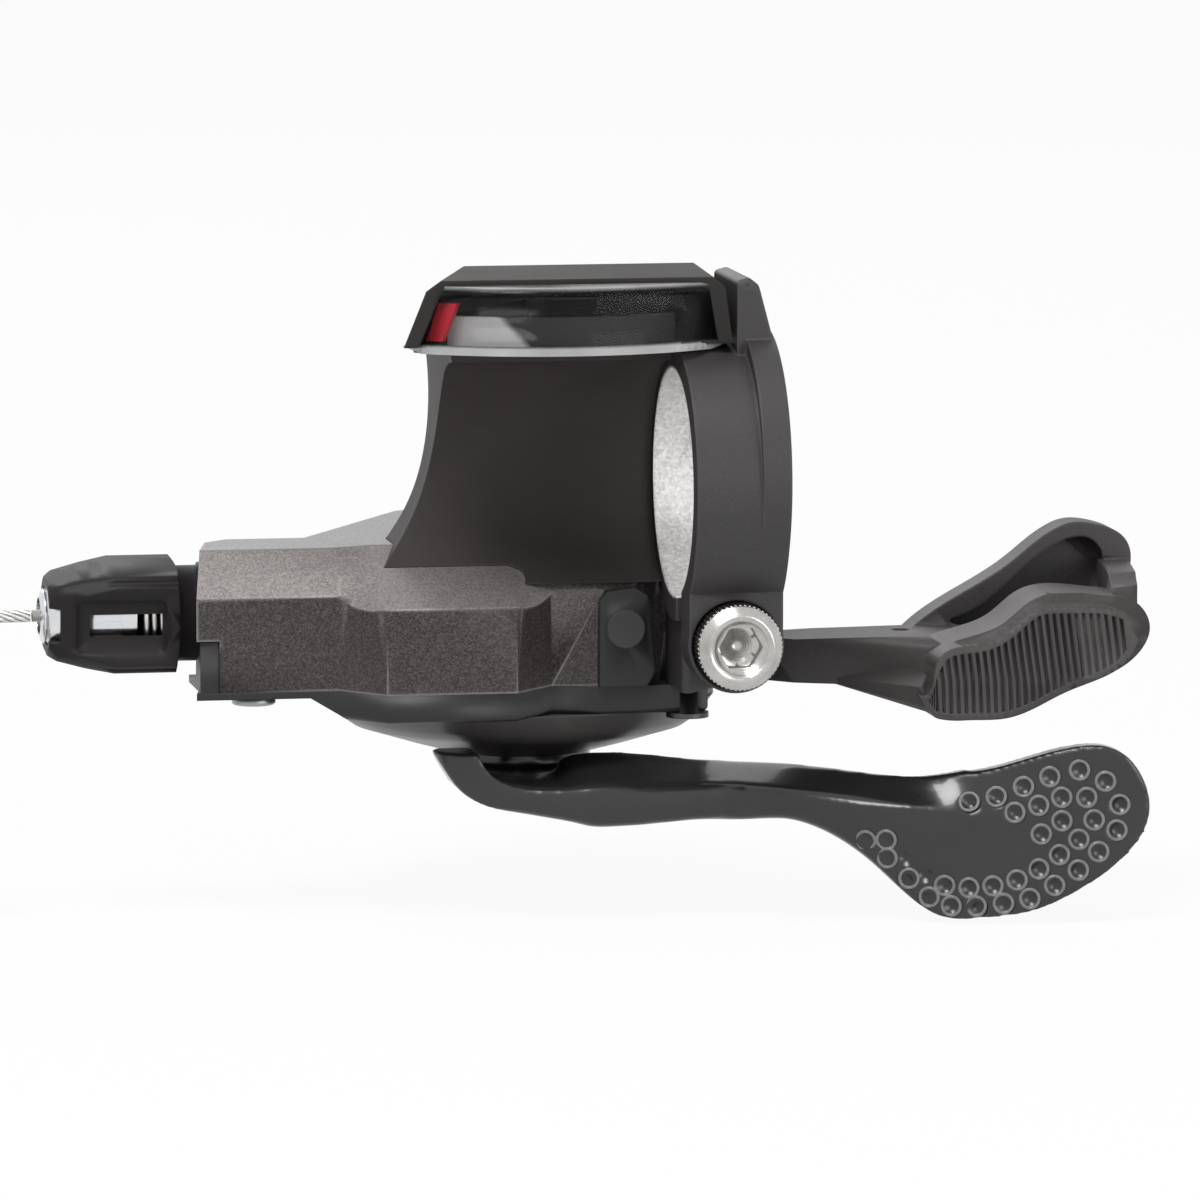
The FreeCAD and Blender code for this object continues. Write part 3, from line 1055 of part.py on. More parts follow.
def release_pin():
    return rod_z(SPLIT_Z - PIN_DEPTH, INNER_Z1 + 0.2, RELEASE_X, RELEASE_Y, PIN_R)


# Cable

def shift_cable():
    """The cable inside the shifter: round the winder's groove, straight out through the adjuster's bolt."""
    start = math.radians(HEAD_ANGLE - 1.5)
    middle = math.radians(HEAD_ANGLE / 2 - 45.0)

    def on_groove(turn):
        return vec(AXLE_X + GROOVE_R * math.cos(turn), AXLE_Y + GROOVE_R * math.sin(turn), CABLE_Z)

    tangent = vec(AXLE_X, CABLE_Y, CABLE_Z)
    section = Part.Wire(Part.makeCircle(CABLE_D / 2, vec(CABLE_END_X, CABLE_Y, CABLE_Z), vec(1, 0, 0)))
    backwards = Part.Wire([Part.LineSegment(vec(CABLE_END_X, CABLE_Y, CABLE_Z), tangent).toShape(),
                           Part.Arc(tangent, on_groove(middle), on_groove(start)).toShape()])
    return backwards.makePipeShell([section], True, False)


def cable_run():
    """The straight stretch from the adjuster to the coil."""
    return rod_x(COIL_X, CABLE_END_X, CABLE_Y, CABLE_Z, CABLE_D / 2)


def coil_ring(grow):
    corner = 0.6
    inner = COIL_R0 - grow
    outer = COIL_R1 + grow
    half = COIL_HALF + grow
    profile = [(inner, corner - half), (inner + corner, -half), (outer - corner, -half),
               (outer, corner - half), (outer, half - corner), (outer - corner, half),
               (inner + corner, half), (inner, half - corner)]
    face = Part.Face(closed_wire([vec(COIL_X + r, CABLE_Y + y, COIL_Z) for r, y in profile]))
    return face.revolve(vec(COIL_X, CABLE_Y, COIL_Z), vec(0, 1, 0), 360)


def cable_coil():
    """The put-away length as one ring, the outer shape of its turns."""
    return coil_ring(0)


def coil_tie():
    """The tie round the coil at its lowest point."""
    low = block(COIL_X - TIE_WIDTH / 2, COIL_X + TIE_WIDTH / 2, CABLE_Y - 20, CABLE_Y + 20,
                COIL_Z - COIL_R1 - 4, COIL_Z - COIL_R0 + 2)
    return coil_ring(TIE_WALL).common(low).cut(coil_ring(0))


NODES = (
    clamp_band, clamp_bolt, bracket_screw, unit_cover, base_plate, lower_cover, side_cap, port_screw,
    cover_screws, main_axle, axle_nut, cable_winder, cable_head, ratchet_wheel, hold_pawl, hold_pin,
    feed_pawl, feed_pin, drive_plate, lever_sleeve, lever_spring, winder_spring, display_neck, display_cap,
    display_lens, display_dial, display_needle, needle_shaft, neck_screws, adjuster_knob, adjuster_bolt,
    adjuster_spring, main_lever, release_lever, release_pin, shift_cable, cable_run, cable_coil, coil_tie,
)


def main():
    os.makedirs("parts", exist_ok=True)
    for make in NODES:
        shape = make()
        shape.exportStep("parts/" + make.__name__ + ".step")
        box = shape.optimalBoundingBox()
        sizes = (box.XMin, box.XMax, box.YMin, box.YMax, box.ZMin, box.ZMax)
        print("%-16s valid %s solids %d volume %.1f" % (
            make.__name__, shape.isValid(), len(shape.Solids), shape.Volume),
            "x %.1f..%.1f y %.1f..%.1f z %.1f..%.1f" % sizes)
    print("cable bend radius in the winder's groove %.1f" % GROOVE_R)
    print("cable bend radii in the coil %.1f to %.1f" % (
        COIL_TURN_R - COIL_PITCH * (COIL_LAYERS - 1), COIL_TURN_R))


main()
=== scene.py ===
"""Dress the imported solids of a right-hand trigger gear shifter for a flat handlebar.

The handlebar's axis is X towards the grip, Y points forwards and Z up, in metres.
"""
import json
import logging
import math
from abc import ABC, abstractmethod
from dataclasses import dataclass
from enum import Enum
from itertools import product
from typing import Callable, ClassVar, Iterable, Sequence

import bmesh
import bpy
from mathutils import Matrix, Vector
from mathutils.bvhtree import BVHTree


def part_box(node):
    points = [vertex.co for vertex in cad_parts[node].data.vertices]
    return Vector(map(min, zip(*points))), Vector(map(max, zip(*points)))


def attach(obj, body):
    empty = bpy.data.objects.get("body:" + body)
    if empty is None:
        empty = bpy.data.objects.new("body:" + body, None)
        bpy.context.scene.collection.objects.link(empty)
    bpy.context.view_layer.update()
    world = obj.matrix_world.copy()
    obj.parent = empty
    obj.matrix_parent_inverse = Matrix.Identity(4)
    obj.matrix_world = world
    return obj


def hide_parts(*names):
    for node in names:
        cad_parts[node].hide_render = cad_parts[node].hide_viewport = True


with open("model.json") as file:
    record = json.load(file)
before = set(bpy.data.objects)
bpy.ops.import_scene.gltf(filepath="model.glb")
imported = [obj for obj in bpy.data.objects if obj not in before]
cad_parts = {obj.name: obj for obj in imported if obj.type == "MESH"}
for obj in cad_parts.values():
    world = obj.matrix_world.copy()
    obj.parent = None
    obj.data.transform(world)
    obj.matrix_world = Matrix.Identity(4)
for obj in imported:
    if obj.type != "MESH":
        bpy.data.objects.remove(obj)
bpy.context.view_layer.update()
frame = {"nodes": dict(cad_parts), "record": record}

MM = 0.001
NEAR = 0.0001
Colour = tuple[float, float, float]
Form = Callable[[Vector], Vector]
Cut = tuple[Sequence[float], Sequence[float]]
LOG = logging.getLogger("shifter")


class Body(Enum):
    """The bodies that an added piece rides on."""

    UNIT = "unit"
    MAIN_LEVER = "main_lever"
    RELEASE_LEVER = "release_lever"


class Socket:
    """A shader socket that adds Math nodes when it is used in an expression."""

    def __init__(self, graph: "NodeGraph", socket: bpy.types.NodeSocket) -> None:
        """Keep the graph that new nodes go to, and the socket itself."""
        self.graph = graph
        self.socket = socket

    def _maths(self, operation: str, *values: object) -> "Socket":
        """Add one Math node.

        Args:
            operation: The Math node's operation.
            values: Sockets or numbers for its inputs, in order.

        Returns:
            The node's value.
        """
        inputs = dict(enumerate(values))
        return self.graph.node("ShaderNodeMath", {"operation": operation}, inputs)

    def __add__(self, other: object) -> "Socket":
        """Add."""
        return self._maths("ADD", self, other)

    def __radd__(self, other: object) -> "Socket":
        """Add, the other way round."""
        return self._maths("ADD", other, self)

    def __sub__(self, other: object) -> "Socket":
        """Subtract."""
        return self._maths("SUBTRACT", self, other)

    def __rsub__(self, other: object) -> "Socket":
        """Subtract from the other value."""
        return self._maths("SUBTRACT", other, self)

    def __mul__(self, other: object) -> "Socket":
        """Multiply."""
        return self._maths("MULTIPLY", self, other)

    def __rmul__(self, other: object) -> "Socket":
        """Multiply, the other way round."""
        return self._maths("MULTIPLY", other, self)

    def __truediv__(self, other: object) -> "Socket":
        """Divide."""
        return self._maths("DIVIDE", self, other)

    def __rtruediv__(self, other: object) -> "Socket":
        """Divide the other value."""
        return self._maths("DIVIDE", other, self)

    def __pow__(self, other: object) -> "Socket":
        """Raise to a power."""
        return self._maths("POWER", self, other)

    def sine(self) -> "Socket":
        """The sine of an angle in radians."""
        return self._maths("SINE", self)

    def size(self) -> "Socket":
        """The value without its sign."""
        return self._maths("ABSOLUTE", self)

    def clamped(self) -> "Socket":
        """The value kept between 0 and 1."""
        settings = {"operation": "ADD", "use_clamp": True}
        return self.graph.node("ShaderNodeMath", settings, {0: self, 1: 0.0})

    def step(self, low: float, high: float) -> "Socket":
        """Rise smoothly from 0 at low to 1 at high.

        Args:
            low: Where the rise starts.
            high: Where it ends.

        Returns:
            The mask.
        """
        settings = {"interpolation_type": "SMOOTHSTEP"}
        inputs = {"Value": self, "From Min": low, "From Max": high, "To Min": 0.0, "To Max": 1.0}
        return self.graph.node("ShaderNodeMapRange", settings, inputs)


class NodeGraph:
    """A node tree whose nodes all come from one method."""

    def __init__(self, tree: bpy.types.NodeTree) -> None:
        """Empty the tree."""
        self.tree = tree
        self.tree.nodes.clear()

    def node(self, kind: str, settings: dict | None = None, inputs: dict | None = None,
             output: int | str = 0) -> Socket:
        """Add any node.

        Args:
            kind: The node's type.
            settings: Properties that are set before its sockets.
            inputs: Values or sockets by the input's name or number.
            output: The output that is returned, by name or number.

        Returns:
            The chosen output, or the first input of a node that has no output.
        """
        made = self.tree.nodes.new(kind)
        for name, value in (settings or {}).items():
            setattr(made, name, value)
        for key, value in (inputs or {}).items():
            if isinstance(value, Socket):
                self.tree.links.new(value.socket, made.inputs[key])
            else:
                made.inputs[key].default_value = value
        return Socket(self, made.outputs[output] if len(made.outputs) else made.inputs[0])


class ShaderGraph(NodeGraph):
    """The node tree of a material or of the world, written as expressions."""

    def place(self) -> Socket:
        """The point on the piece, in metres."""
        return self.node("ShaderNodeTexCoord", output="Object")

    def axes(self, point: Socket) -> tuple[Socket, Socket, Socket]:
        """Split a point into X, Y and Z."""
        first = self.node("ShaderNodeSeparateXYZ", {}, {0: point})
        return tuple(Socket(self, out) for out in first.socket.node.outputs)

    def stretched(self, point: Socket, scale: Sequence[float]) -> Socket:
        """The point with each axis scaled, for grain that runs one way."""
        return self.node("ShaderNodeMapping", {}, {"Vector": point, "Scale": tuple(scale)})

    def noise(self, point: Socket, scale: float, detail: float = 2.0, roughness: float = 0.5) -> Socket:
        """Soft noise between 0 and 1.

        Args:
            point: Where it is read.
            scale: Waves to the metre.
            detail: How many finer layers lie on it.
            roughness: How strong the finer layers are.

        Returns:
            The noise.
        """
        inputs = {"Vector": point, "Scale": scale, "Detail": detail, "Roughness": roughness}
        return self.node("ShaderNodeTexNoise", {}, inputs)

    def cells(self, point: Socket, scale: float) -> Socket:
        """A random value between 0 and 1 for each small cell, as flake or blasted grains."""
        colour = self.node("ShaderNodeTexVoronoi", {}, {"Vector": point, "Scale": scale}, "Color")
        return self.node("ShaderNodeSeparateColor", {}, {0: colour})

    def mixed(self, factor: Socket | float, first: Socket | Colour, second: Socket | Colour) -> Socket:
        """Mix two colours.

        Args:
            factor: 0 for the first, 1 for the second.
            first: A colour or a socket.
            second: A colour or a socket.

        Returns:
            The mixed colour.
        """
        values = [value if isinstance(value, Socket) else (*value, 1.0) for value in (first, second)]
        inputs = {0: factor, 6: values[0], 7: values[1]}
        return self.node("ShaderNodeMix", {"data_type": "RGBA"}, inputs, 2)

    def round_edges(self, radius: float) -> Socket:
        """The surface's direction with its sharp edges rounded off."""
        return self.node("ShaderNodeBevel", {"samples": 4}, {"Radius": radius})

    def edge_mask(self, rounded: Socket) -> Socket:
        """Where the rounded direction leaves the flat one: the edges that catch the light."""
        flat = self.node("ShaderNodeNewGeometry", output="Normal")
        settings = {"operation": "DOT_PRODUCT"}
        along = self.node("ShaderNodeVectorMath", settings, {0: rounded, 1: flat}, "Value")
        return (1.0 - along).step(0.01, 0.22)

    def bump(self, height: Socket, depth: float, normal: Socket | None = None) -> Socket:
        """Raise the surface by a height.

        Args:
            height: The height, 0 to 1.
            depth: What 1 stands for, in metres.
            normal: The direction that it starts from.

        Returns:
            The new direction.
        """
        inputs: dict = {"Height": height, "Distance": depth, "Strength": 1.0}
        if normal is not None:
            inputs["Normal"] = normal
        return self.node("ShaderNodeBump", {}, inputs)

    def surface(self, inputs: dict) -> Socket:
        """The main shader with its inputs set."""
        return self.node("ShaderNodeBsdfPrincipled", {}, inputs)

    def finish(self, shader: Socket, kind: str = "ShaderNodeOutputMaterial") -> None:
        """Join the shader to the tree's output."""
        self.node(kind, {}, {"Surface": shader})


def scaled(colour: Colour, gain: float) -> Colour:
    """A colour made darker or brighter by a factor."""
    return tuple(gain * part for part in colour)


@dataclass(frozen=True)
class Finish(ABC):
    """A finish that makes its own material once."""

    name: str
    _made: ClassVar[dict[str, bpy.types.Material]] = {}

    def material(self) -> bpy.types.Material:
        """The finish's material, made on first use."""
        if self.name not in Finish._made:
            made = bpy.data.materials.new(self.name)
            made.use_nodes = True
            graph = ShaderGraph(made.node_tree)
            graph.finish(self.shade(graph))
            Finish._made[self.name] = made
        return Finish._made[self.name]

    @abstractmethod
    def shade(self, graph: ShaderGraph) -> Socket:
        """Write the finish into a graph and return its shader."""


@dataclass(frozen=True)
class MouldedPlastic(Finish):
    """Moulded plastic with a fine spark grain, its edges painted paler as a painted highlight and a
    little smoother.
    """

    colour: Colour = (0.02, 0.02, 0.021)
    roughness: float = 0.45
    specular: float = 0.35
    grain: float = 6500.0
    depth: float = 0.000012
    edge: float = 0.00025
    edge_highlight_gain: float = 0.03

    def shade(self, graph: ShaderGraph) -> Socket:
        """Write the plastic."""
        point = graph.place()
        grain = graph.noise(point, self.grain, 2.0, 0.6)
        cloud = graph.noise(point, 90.0, 3.0)
        rounded = graph.round_edges(self.edge)
        edges = graph.edge_mask(rounded)
        cloudy = graph.mixed(cloud, scaled(self.colour, 0.8), scaled(self.colour, 1.25))
        # Painted highlight: the edges are mixed towards a paler colour, standing in for the light that
        # they catch.
        rim_highlight = tuple(part + self.edge_highlight_gain for part in self.colour)
        colour = graph.mixed(edges * 0.6, cloudy, rim_highlight)
        rough = self.roughness + (cloud - 0.5) * 0.16 + (grain - 0.5) * 0.12 - edges * 0.08
        return graph.surface({"Base Color": colour, "Roughness": rough.clamped(),
                              "Specular IOR Level": self.specular,
                              "Normal": graph.bump(grain, self.depth, rounded)})


@dataclass(frozen=True)
class GrainedPaint(Finish):
    """Black paint with a fine grain and a painted highlight along its edges; the clamp's bore is left
    bare and blasted.
    """

    dark: Colour = (0.021, 0.019, 0.02)
    pale: Colour = (0.05, 0.046, 0.047)
    edge_highlight_and_dust: Colour = (0.11, 0.105, 0.103)
    dull_metal: Colour = (0.5, 0.49, 0.48)
    bright_metal: Colour = (0.98, 0.97, 0.96)
    bore: float = 0.01115

    def shade(self, graph: ShaderGraph) -> Socket:
        """Write the paint and the bare bore."""
        point = graph.place()
        _, forward, up = graph.axes(point)
        radius = (forward * forward + up * up) ** 0.5
        wavy = graph.noise(point, 1400.0, 3.0)
        bare = 1.0 - (radius + (wavy - 0.5) * 0.0001).step(self.bore + 0.00005, self.bore + 0.00025)
        grain = graph.noise(point, 5200.0, 3.0, 0.65)
        pits = graph.cells(point, 3800.0)
        broad = graph.noise(point, 260.0, 3.0)
        rounded = graph.round_edges(0.0004)
        edges = graph.edge_mask(rounded)
        # Painted highlight: the edges are mixed towards the paler edge colour (here it carries no
        # dust), standing in for the light that they catch.
        paint = graph.mixed(edges * 0.7, graph.mixed(grain, self.dark, self.pale), self.edge_highlight_and_dust)
        metal = graph.mixed((pits * 0.55 + broad * 0.65).clamped(), self.dull_metal, self.bright_metal)
        height = grain * (1.0 - bare) + pits * bare
        rough = (0.46 + (grain - 0.5) * 0.2) * (1.0 - bare) + (0.42 + pits * 0.2) * bare
        return graph.surface({"Base Color": graph.mixed(bare, paint, metal), "Roughness": rough,
                              "Metallic": bare * 0.9, "Specular IOR Level": 0.4,
                              "Normal": graph.bump(height, 0.000018, rounded)})


@dataclass(frozen=True)
class FlakePaint(Finish):
    """Graphite paint with metal flake under a thin clear coat; the flat top is finely brushed; upward
    faces and edges are painted paler as painted light.
    """

    dark: Colour = (0.03, 0.0245, 0.0245)
    pale: Colour = (0.15, 0.13, 0.128)
    painted_top_light: Colour = (0.4, 0.37, 0.36)
    edge_highlight_and_dust: Colour = (0.52, 0.49, 0.48)
    top_dark: Colour = (0.1, 0.097, 0.097)
    top_pale: Colour = (0.19, 0.185, 0.185)
    top_level: float = -0.00705

    def shade(self, graph: ShaderGraph) -> Socket:
        """Write the paint."""
        point = graph.place()
        _, _, up = graph.axes(point)
        flake = graph.cells(point, 7200.0)
        fine = graph.cells(point, 13000.0)
        cloud = graph.noise(point, 120.0, 3.0)
        rounded = graph.round_edges(0.00045)
        edges = graph.edge_mask(rounded)
        top = up.step(self.top_level - 0.0001, self.top_level)
        streaks = graph.noise(graph.stretched(point, (60.0, 5200.0, 60.0)), 1.0, 4.0, 0.7)
        speck = (flake * 0.6 + fine * 0.5 - 0.2 + (cloud - 0.5) * 0.12).clamped() ** 1.6
        # Painted light from above: faces that turn upwards are mixed towards a paler colour, more so
        # where a flake is bright.
        lean = graph.axes(graph.node("ShaderNodeTexCoord", output="Normal"))[2].step(0.08, 0.8)
        flaked = graph.mixed(speck, self.dark, self.pale)
        body = graph.mixed(lean * (0.3 + flake * 0.3), flaked, self.painted_top_light)
        brushed = graph.mixed(streaks, self.top_dark, self.top_pale)
        # Painted highlight: the edges are mixed towards the pale edge colour (here it carries no dust).
        colour = graph.mixed(edges * 0.9, graph.mixed(top, body, brushed), self.edge_highlight_and_dust)
        rough = 0.4 + (flake - 0.5) * 0.16 + top * (streaks - 0.5) * 0.2
        return graph.surface({"Base Color": colour, "Roughness": rough, "Metallic": 0.3,
                              "Specular IOR Level": 0.25, "Coat Weight": 0.12, "Coat Roughness": 0.25,
                              "Normal": graph.bump(flake, 0.00001, rounded)})


@dataclass(frozen=True)
class GlossEnamel(Finish):
    """Deep gloss black on forged alloy, with a slight orange peel, light dust specks and a painted
    highlight along its edges.
    """

    base: Colour = (0.018, 0.0176, 0.0176)
    edge_highlight_and_dust: Colour = (0.075, 0.072, 0.07)
    edge_highlight_gain: float = 0.35

    def shade(self, graph: ShaderGraph) -> Socket:
        """Write the enamel."""
        point = graph.place()
        peel = graph.noise(point, 700.0, 2.0)
        smear = graph.noise(point, 110.0, 4.0, 0.6)
        dust = graph.noise(point, 9000.0, 1.0).step(0.72, 0.8)
        rounded = graph.round_edges(0.0005)
        edges = graph.edge_mask(rounded)
        base = graph.mixed(smear, scaled(self.base, 0.6), scaled(self.base, 1.4))
        # The edges are mixed towards the paler colour as a painted highlight; the dust specks take the
        # same colour as real dust.
        colour = graph.mixed((edges * self.edge_highlight_gain + dust * 0.1).clamped(), base, self.edge_highlight_and_dust)
        rough = 0.14 + smear * 0.1 + dust * 0.2
        return graph.surface({"Base Color": colour, "Roughness": rough, "Specular IOR Level": 0.4,
                              "Coat Weight": 0.3, "Coat Roughness": 0.05,
                              "Normal": graph.bump(peel, 0.000012, rounded)})


@dataclass(frozen=True)
class BrightSteel(Finish):
    """Turned or drawn steel, with fine lines round an axis along Y."""

    centre: tuple[float, float] = (0.0, -0.015)
    pale: Colour = (0.8, 0.78, 0.75)
    dark: Colour = (0.26, 0.25, 0.24)
    roughness: float = 0.2
    lines: float = 26000.0

    def shade(self, graph: ShaderGraph) -> Socket:
        """Write the steel."""
        point = graph.place()
        side, _, up = graph.axes(point)
        across = side - self.centre[0]
        rise = up - self.centre[1]
        radius = (across * across + rise * rise) ** 0.5
        rings = (radius * self.lines).sine() * 0.5 + 0.5
        smear = graph.noise(point, 420.0, 4.0, 0.65)
        rounded = graph.round_edges(0.0002)
        edges = graph.edge_mask(rounded)
        # Paler in random smears, and along the edges as a painted highlight.
        colour = graph.mixed((smear * 0.8 + edges * 0.3).clamped(), self.dark, self.pale)
        rough = self.roughness + (smear - 0.5) * 0.18 + rings * 0.06
        return graph.surface({"Base Color": colour, "Roughness": rough.clamped(), "Metallic": 1.0,
                              "Normal": graph.bump(rings, 0.000002, rounded)})


@dataclass(frozen=True)
class PlatedMetal(Finish):
    """Plated or stamped metal with faint tarnish and drawn lines along X."""

    pale: Colour = (0.86, 0.87, 0.88)
    dark: Colour = (0.5, 0.52, 0.55)
    roughness: float = 0.16

    def shade(self, graph: ShaderGraph) -> Socket:
        """Write the metal."""
        point = graph.place()
        drawn = graph.noise(graph.stretched(point, (300.0, 4200.0, 4200.0)), 1.0, 3.0, 0.6)
        tarnish = graph.noise(point, 380.0, 4.0, 0.6)
        rounded = graph.round_edges(0.00015)
        colour = graph.mixed((tarnish * 0.7 + drawn * 0.4).clamped(), self.dark, self.pale)
        rough = self.roughness + (tarnish - 0.5) * 0.2 + drawn * 0.08
        return graph.surface({"Base Color": colour, "Roughness": rough.clamped(), "Metallic": 1.0,
                              "Normal": graph.bump(drawn, 0.000004, rounded)})


@dataclass(frozen=True)
class ClearPlastic(Finish):
    """Clear, faintly smoked plastic with hair scratches, and a painted highlight along its lower rim
    and its rolled lip.
    """

    rim_level: float = 0.01395
    lip_level: float = 0.0199
    tint: Colour = (0.035, 0.034, 0.038)
    highlight_white: Colour = (0.8, 0.8, 0.81)

    def shade(self, graph: ShaderGraph) -> Socket:
        """Write the plastic."""
        point = graph.place()
        _, _, up = graph.axes(point)
        scratch = graph.noise(graph.stretched(point, (220.0, 220.0, 5200.0)), 1.0, 3.0).step(0.62, 0.78)
        smear = graph.noise(point, 140.0, 3.0)
        glance = graph.node("ShaderNodeLayerWeight", {}, {"Blend": 0.3}, "Fresnel")
        # Painted highlights: a pale, more opaque band along the lens's lower rim and along its top lip.
        rim_highlight = 1.0 - up.step(self.rim_level, self.rim_level + 0.0003)
        lip_highlight = up.step(self.lip_level - 0.0005, self.lip_level)
        rim_and_lip_highlight = (rim_highlight * (0.45 + smear * 0.4) + lip_highlight * (0.35 + smear * 0.5)).clamped()
        veil = (0.07 + glance * 0.35 + scratch * 0.06 + smear * 0.05 + rim_and_lip_highlight * 0.75).clamped()
        rough = 0.06 + scratch * 0.1 + rim_and_lip_highlight * 0.2
        colour = graph.mixed(rim_and_lip_highlight, self.tint, self.highlight_white)
        return graph.surface({"Base Color": colour, "Roughness": rough, "Alpha": veil, "IOR": 1.49,
                              "Specular IOR Level": 0.5})


@dataclass(frozen=True)
class PrintedDial(Finish):
    """The dial: matt black with a plain pale field at the end where the needle rests."""

    field_edge: float = -0.0212
    middle: float = 0.0155
    slope: float = 0.9
    field_dark: Colour = (0.66, 0.66, 0.67)
    field_pale: Colour = (0.85, 0.85, 0.85)
    print_dark: Colour = (0.008, 0.008, 0.01)
    print_pale: Colour = (0.02, 0.02, 0.022)

    def shade(self, graph: ShaderGraph) -> Socket:
        """Write the print."""
        point = graph.place()
        side, _, up = graph.axes(point)
        speck = graph.noise(point, 3600.0, 2.0)
        fade = graph.noise(point, 300.0, 2.0)
        slant = side + (up - self.middle) * self.slope + (fade - 0.5) * 0.0004
        field = 1.0 - slant.step(self.field_edge - 0.0006, self.field_edge + 0.0006)
        pale = graph.mixed(fade, self.field_dark, self.field_pale)
        black = graph.mixed(speck, self.print_dark, self.print_pale)
        colour = graph.mixed(field, black, pale)
        return graph.surface({"Base Color": colour, "Roughness": 0.5 + speck * 0.2,
                              "Normal": graph.bump(speck, 0.000004)})


@dataclass(frozen=True)
class ColouredPlastic(Finish):
    """Black plastic with a brightly coloured flag beyond a radius from the shaft."""

    colour: Colour = (0.9, 0.006, 0.03)
    arm: Colour = (0.02, 0.02, 0.02)
    shaft: tuple[float, float] = (-0.016, 0.01325)
    flag_start: float = 0.0193

    def shade(self, graph: ShaderGraph) -> Socket:
        """Write the plastic."""
        point = graph.place()
        side, forward, _ = graph.axes(point)
        across, along = side - self.shaft[0], forward - self.shaft[1]
        radius = (across * across + along * along) ** 0.5
        flag = radius.step(self.flag_start - NEAR, self.flag_start)
        flow = graph.noise(point, 500.0, 3.0)
        grain = graph.noise(point, 7000.0, 2.0)
        red = graph.mixed(flow, scaled(self.colour, 0.82), self.colour)
        colour = graph.mixed(flag, self.arm, red)
        return graph.surface({"Base Color": colour, "Roughness": 0.34 + grain * 0.12,
                              "Normal": graph.bump(grain, 0.000005, graph.round_edges(0.00012))})


@dataclass(frozen=True)
class StrandedWire(Finish):
    """Twisted steel wires; the pattern follows the cable through its own map of length and turn."""

    strands: int = 7
    lay_length: float = 0.0075
    groove: Colour = (0.06, 0.06, 0.055)
    wire: Colour = (0.72, 0.71, 0.68)

    def shade(self, graph: ShaderGraph) -> Socket:
        """Write the wires."""
        turn_map = graph.node("ShaderNodeUVMap", {"uv_map": "cable_map"})
        along, around, _ = graph.axes(turn_map)
        phase = (around + along / self.lay_length) * (math.pi * self.strands)
        crown = phase.sine().size()
        grease = graph.noise(graph.place(), 900.0, 3.0)
        colour = graph.mixed((crown * 0.9 + grease * 0.25).clamped(), self.groove, self.wire)
        rough = 0.34 + (grease - 0.5) * 0.2
        return graph.surface({"Base Color": colour, "Roughness": rough, "Metallic": 0.95,
                              "Normal": graph.bump(crown, 0.00007)})


CLAMP_PAINT = GrainedPaint("clamp_grained_black")
BOLT_STEEL = BrightSteel("bolt_turned_steel")
COVER_PAINT = FlakePaint("cover_graphite_flake")
BASE_PLASTIC = MouldedPlastic("base_satin_black", (0.016, 0.016, 0.017), roughness=0.42)
DISH_PLASTIC = MouldedPlastic("dish_satin_black", (0.062, 0.057, 0.056), roughness=0.36, specular=0.5)
NECK_PLASTIC = MouldedPlastic("neck_satin_black", (0.047, 0.041, 0.0405), specular=0.06, grain=5200.0,
                              depth=0.000008)
HOOD_PLASTIC = MouldedPlastic("hood_satin_black", (0.034, 0.0315, 0.03), roughness=0.55, specular=0.05,
                              grain=4800.0, depth=0.00001, edge=0.0004)
KNOB_PLASTIC = MouldedPlastic("knob_matt_black", (0.018, 0.016, 0.016), roughness=0.46, specular=0.14,
                              grain=5200.0, depth=0.00001, edge=0.0003)
RELEASE_RESIN = MouldedPlastic("release_grained_resin", (0.042, 0.037, 0.037), roughness=0.52,
                               specular=0.4, grain=4200.0, depth=0.00003, edge=0.00035, edge_highlight_gain=0.05)
CAP_PLASTIC = MouldedPlastic("side_cap_matt_black", (0.024, 0.023, 0.023), roughness=0.5, grain=5200.0,
                             depth=0.00001, edge=0.0004)
LABEL_SATIN = MouldedPlastic("label_satin_grey", (0.05, 0.05, 0.053), roughness=0.4, specular=0.3,
                             grain=5200.0, depth=0.000006, edge=0.00008)
TIE_PLASTIC = MouldedPlastic("tie_black", (0.03, 0.03, 0.03), roughness=0.5)
WINDER_RESIN = MouldedPlastic("winder_filled_resin", (0.08, 0.08, 0.085), roughness=0.5)
LEVER_ENAMEL = GlossEnamel("lever_gloss_black")
# The rims round the pits are painted much paler than the lever's enamel, a painted reflection of the
# light on the rings.
RIM_HIGHLIGHT_ENAMEL = GlossEnamel("rim_painted_highlight_black", (0.13, 0.127, 0.124), (0.4, 0.39, 0.38), edge_highlight_gain=0.8)
LENS_CLEAR = ClearPlastic("lens_clear")
DIAL_PRINT = PrintedDial("dial_print")
NEEDLE_RED = ColouredPlastic("needle_red")
ADJUSTER_PLATE = PlatedMetal("adjuster_plating")
SCREW_BLACK = PlatedMetal("screw_blackened", (0.12, 0.118, 0.115), (0.05, 0.05, 0.05), roughness=0.38)
SCREW_ZINC = PlatedMetal("screw_zinc", (0.5, 0.5, 0.5), (0.16, 0.16, 0.165), roughness=0.34)
MECHANISM_STEEL = PlatedMetal("mechanism_stamped", (0.62, 0.61, 0.6), (0.3, 0.3, 0.3), roughness=0.3)
SPRING_STEEL = PlatedMetal("spring_drawn_wire", (0.8, 0.79, 0.76), (0.35, 0.35, 0.35), roughness=0.25)
CABLE_WIRES = StrandedWire("cable_stranded_steel")


def linked(name: str, mesh: bpy.types.Mesh) -> bpy.types.Object:
    """Put a mesh into the scene as an object at the origin."""
    made = bpy.data.objects.new(name, mesh)
    bpy.context.scene.collection.objects.link(made)
    return made


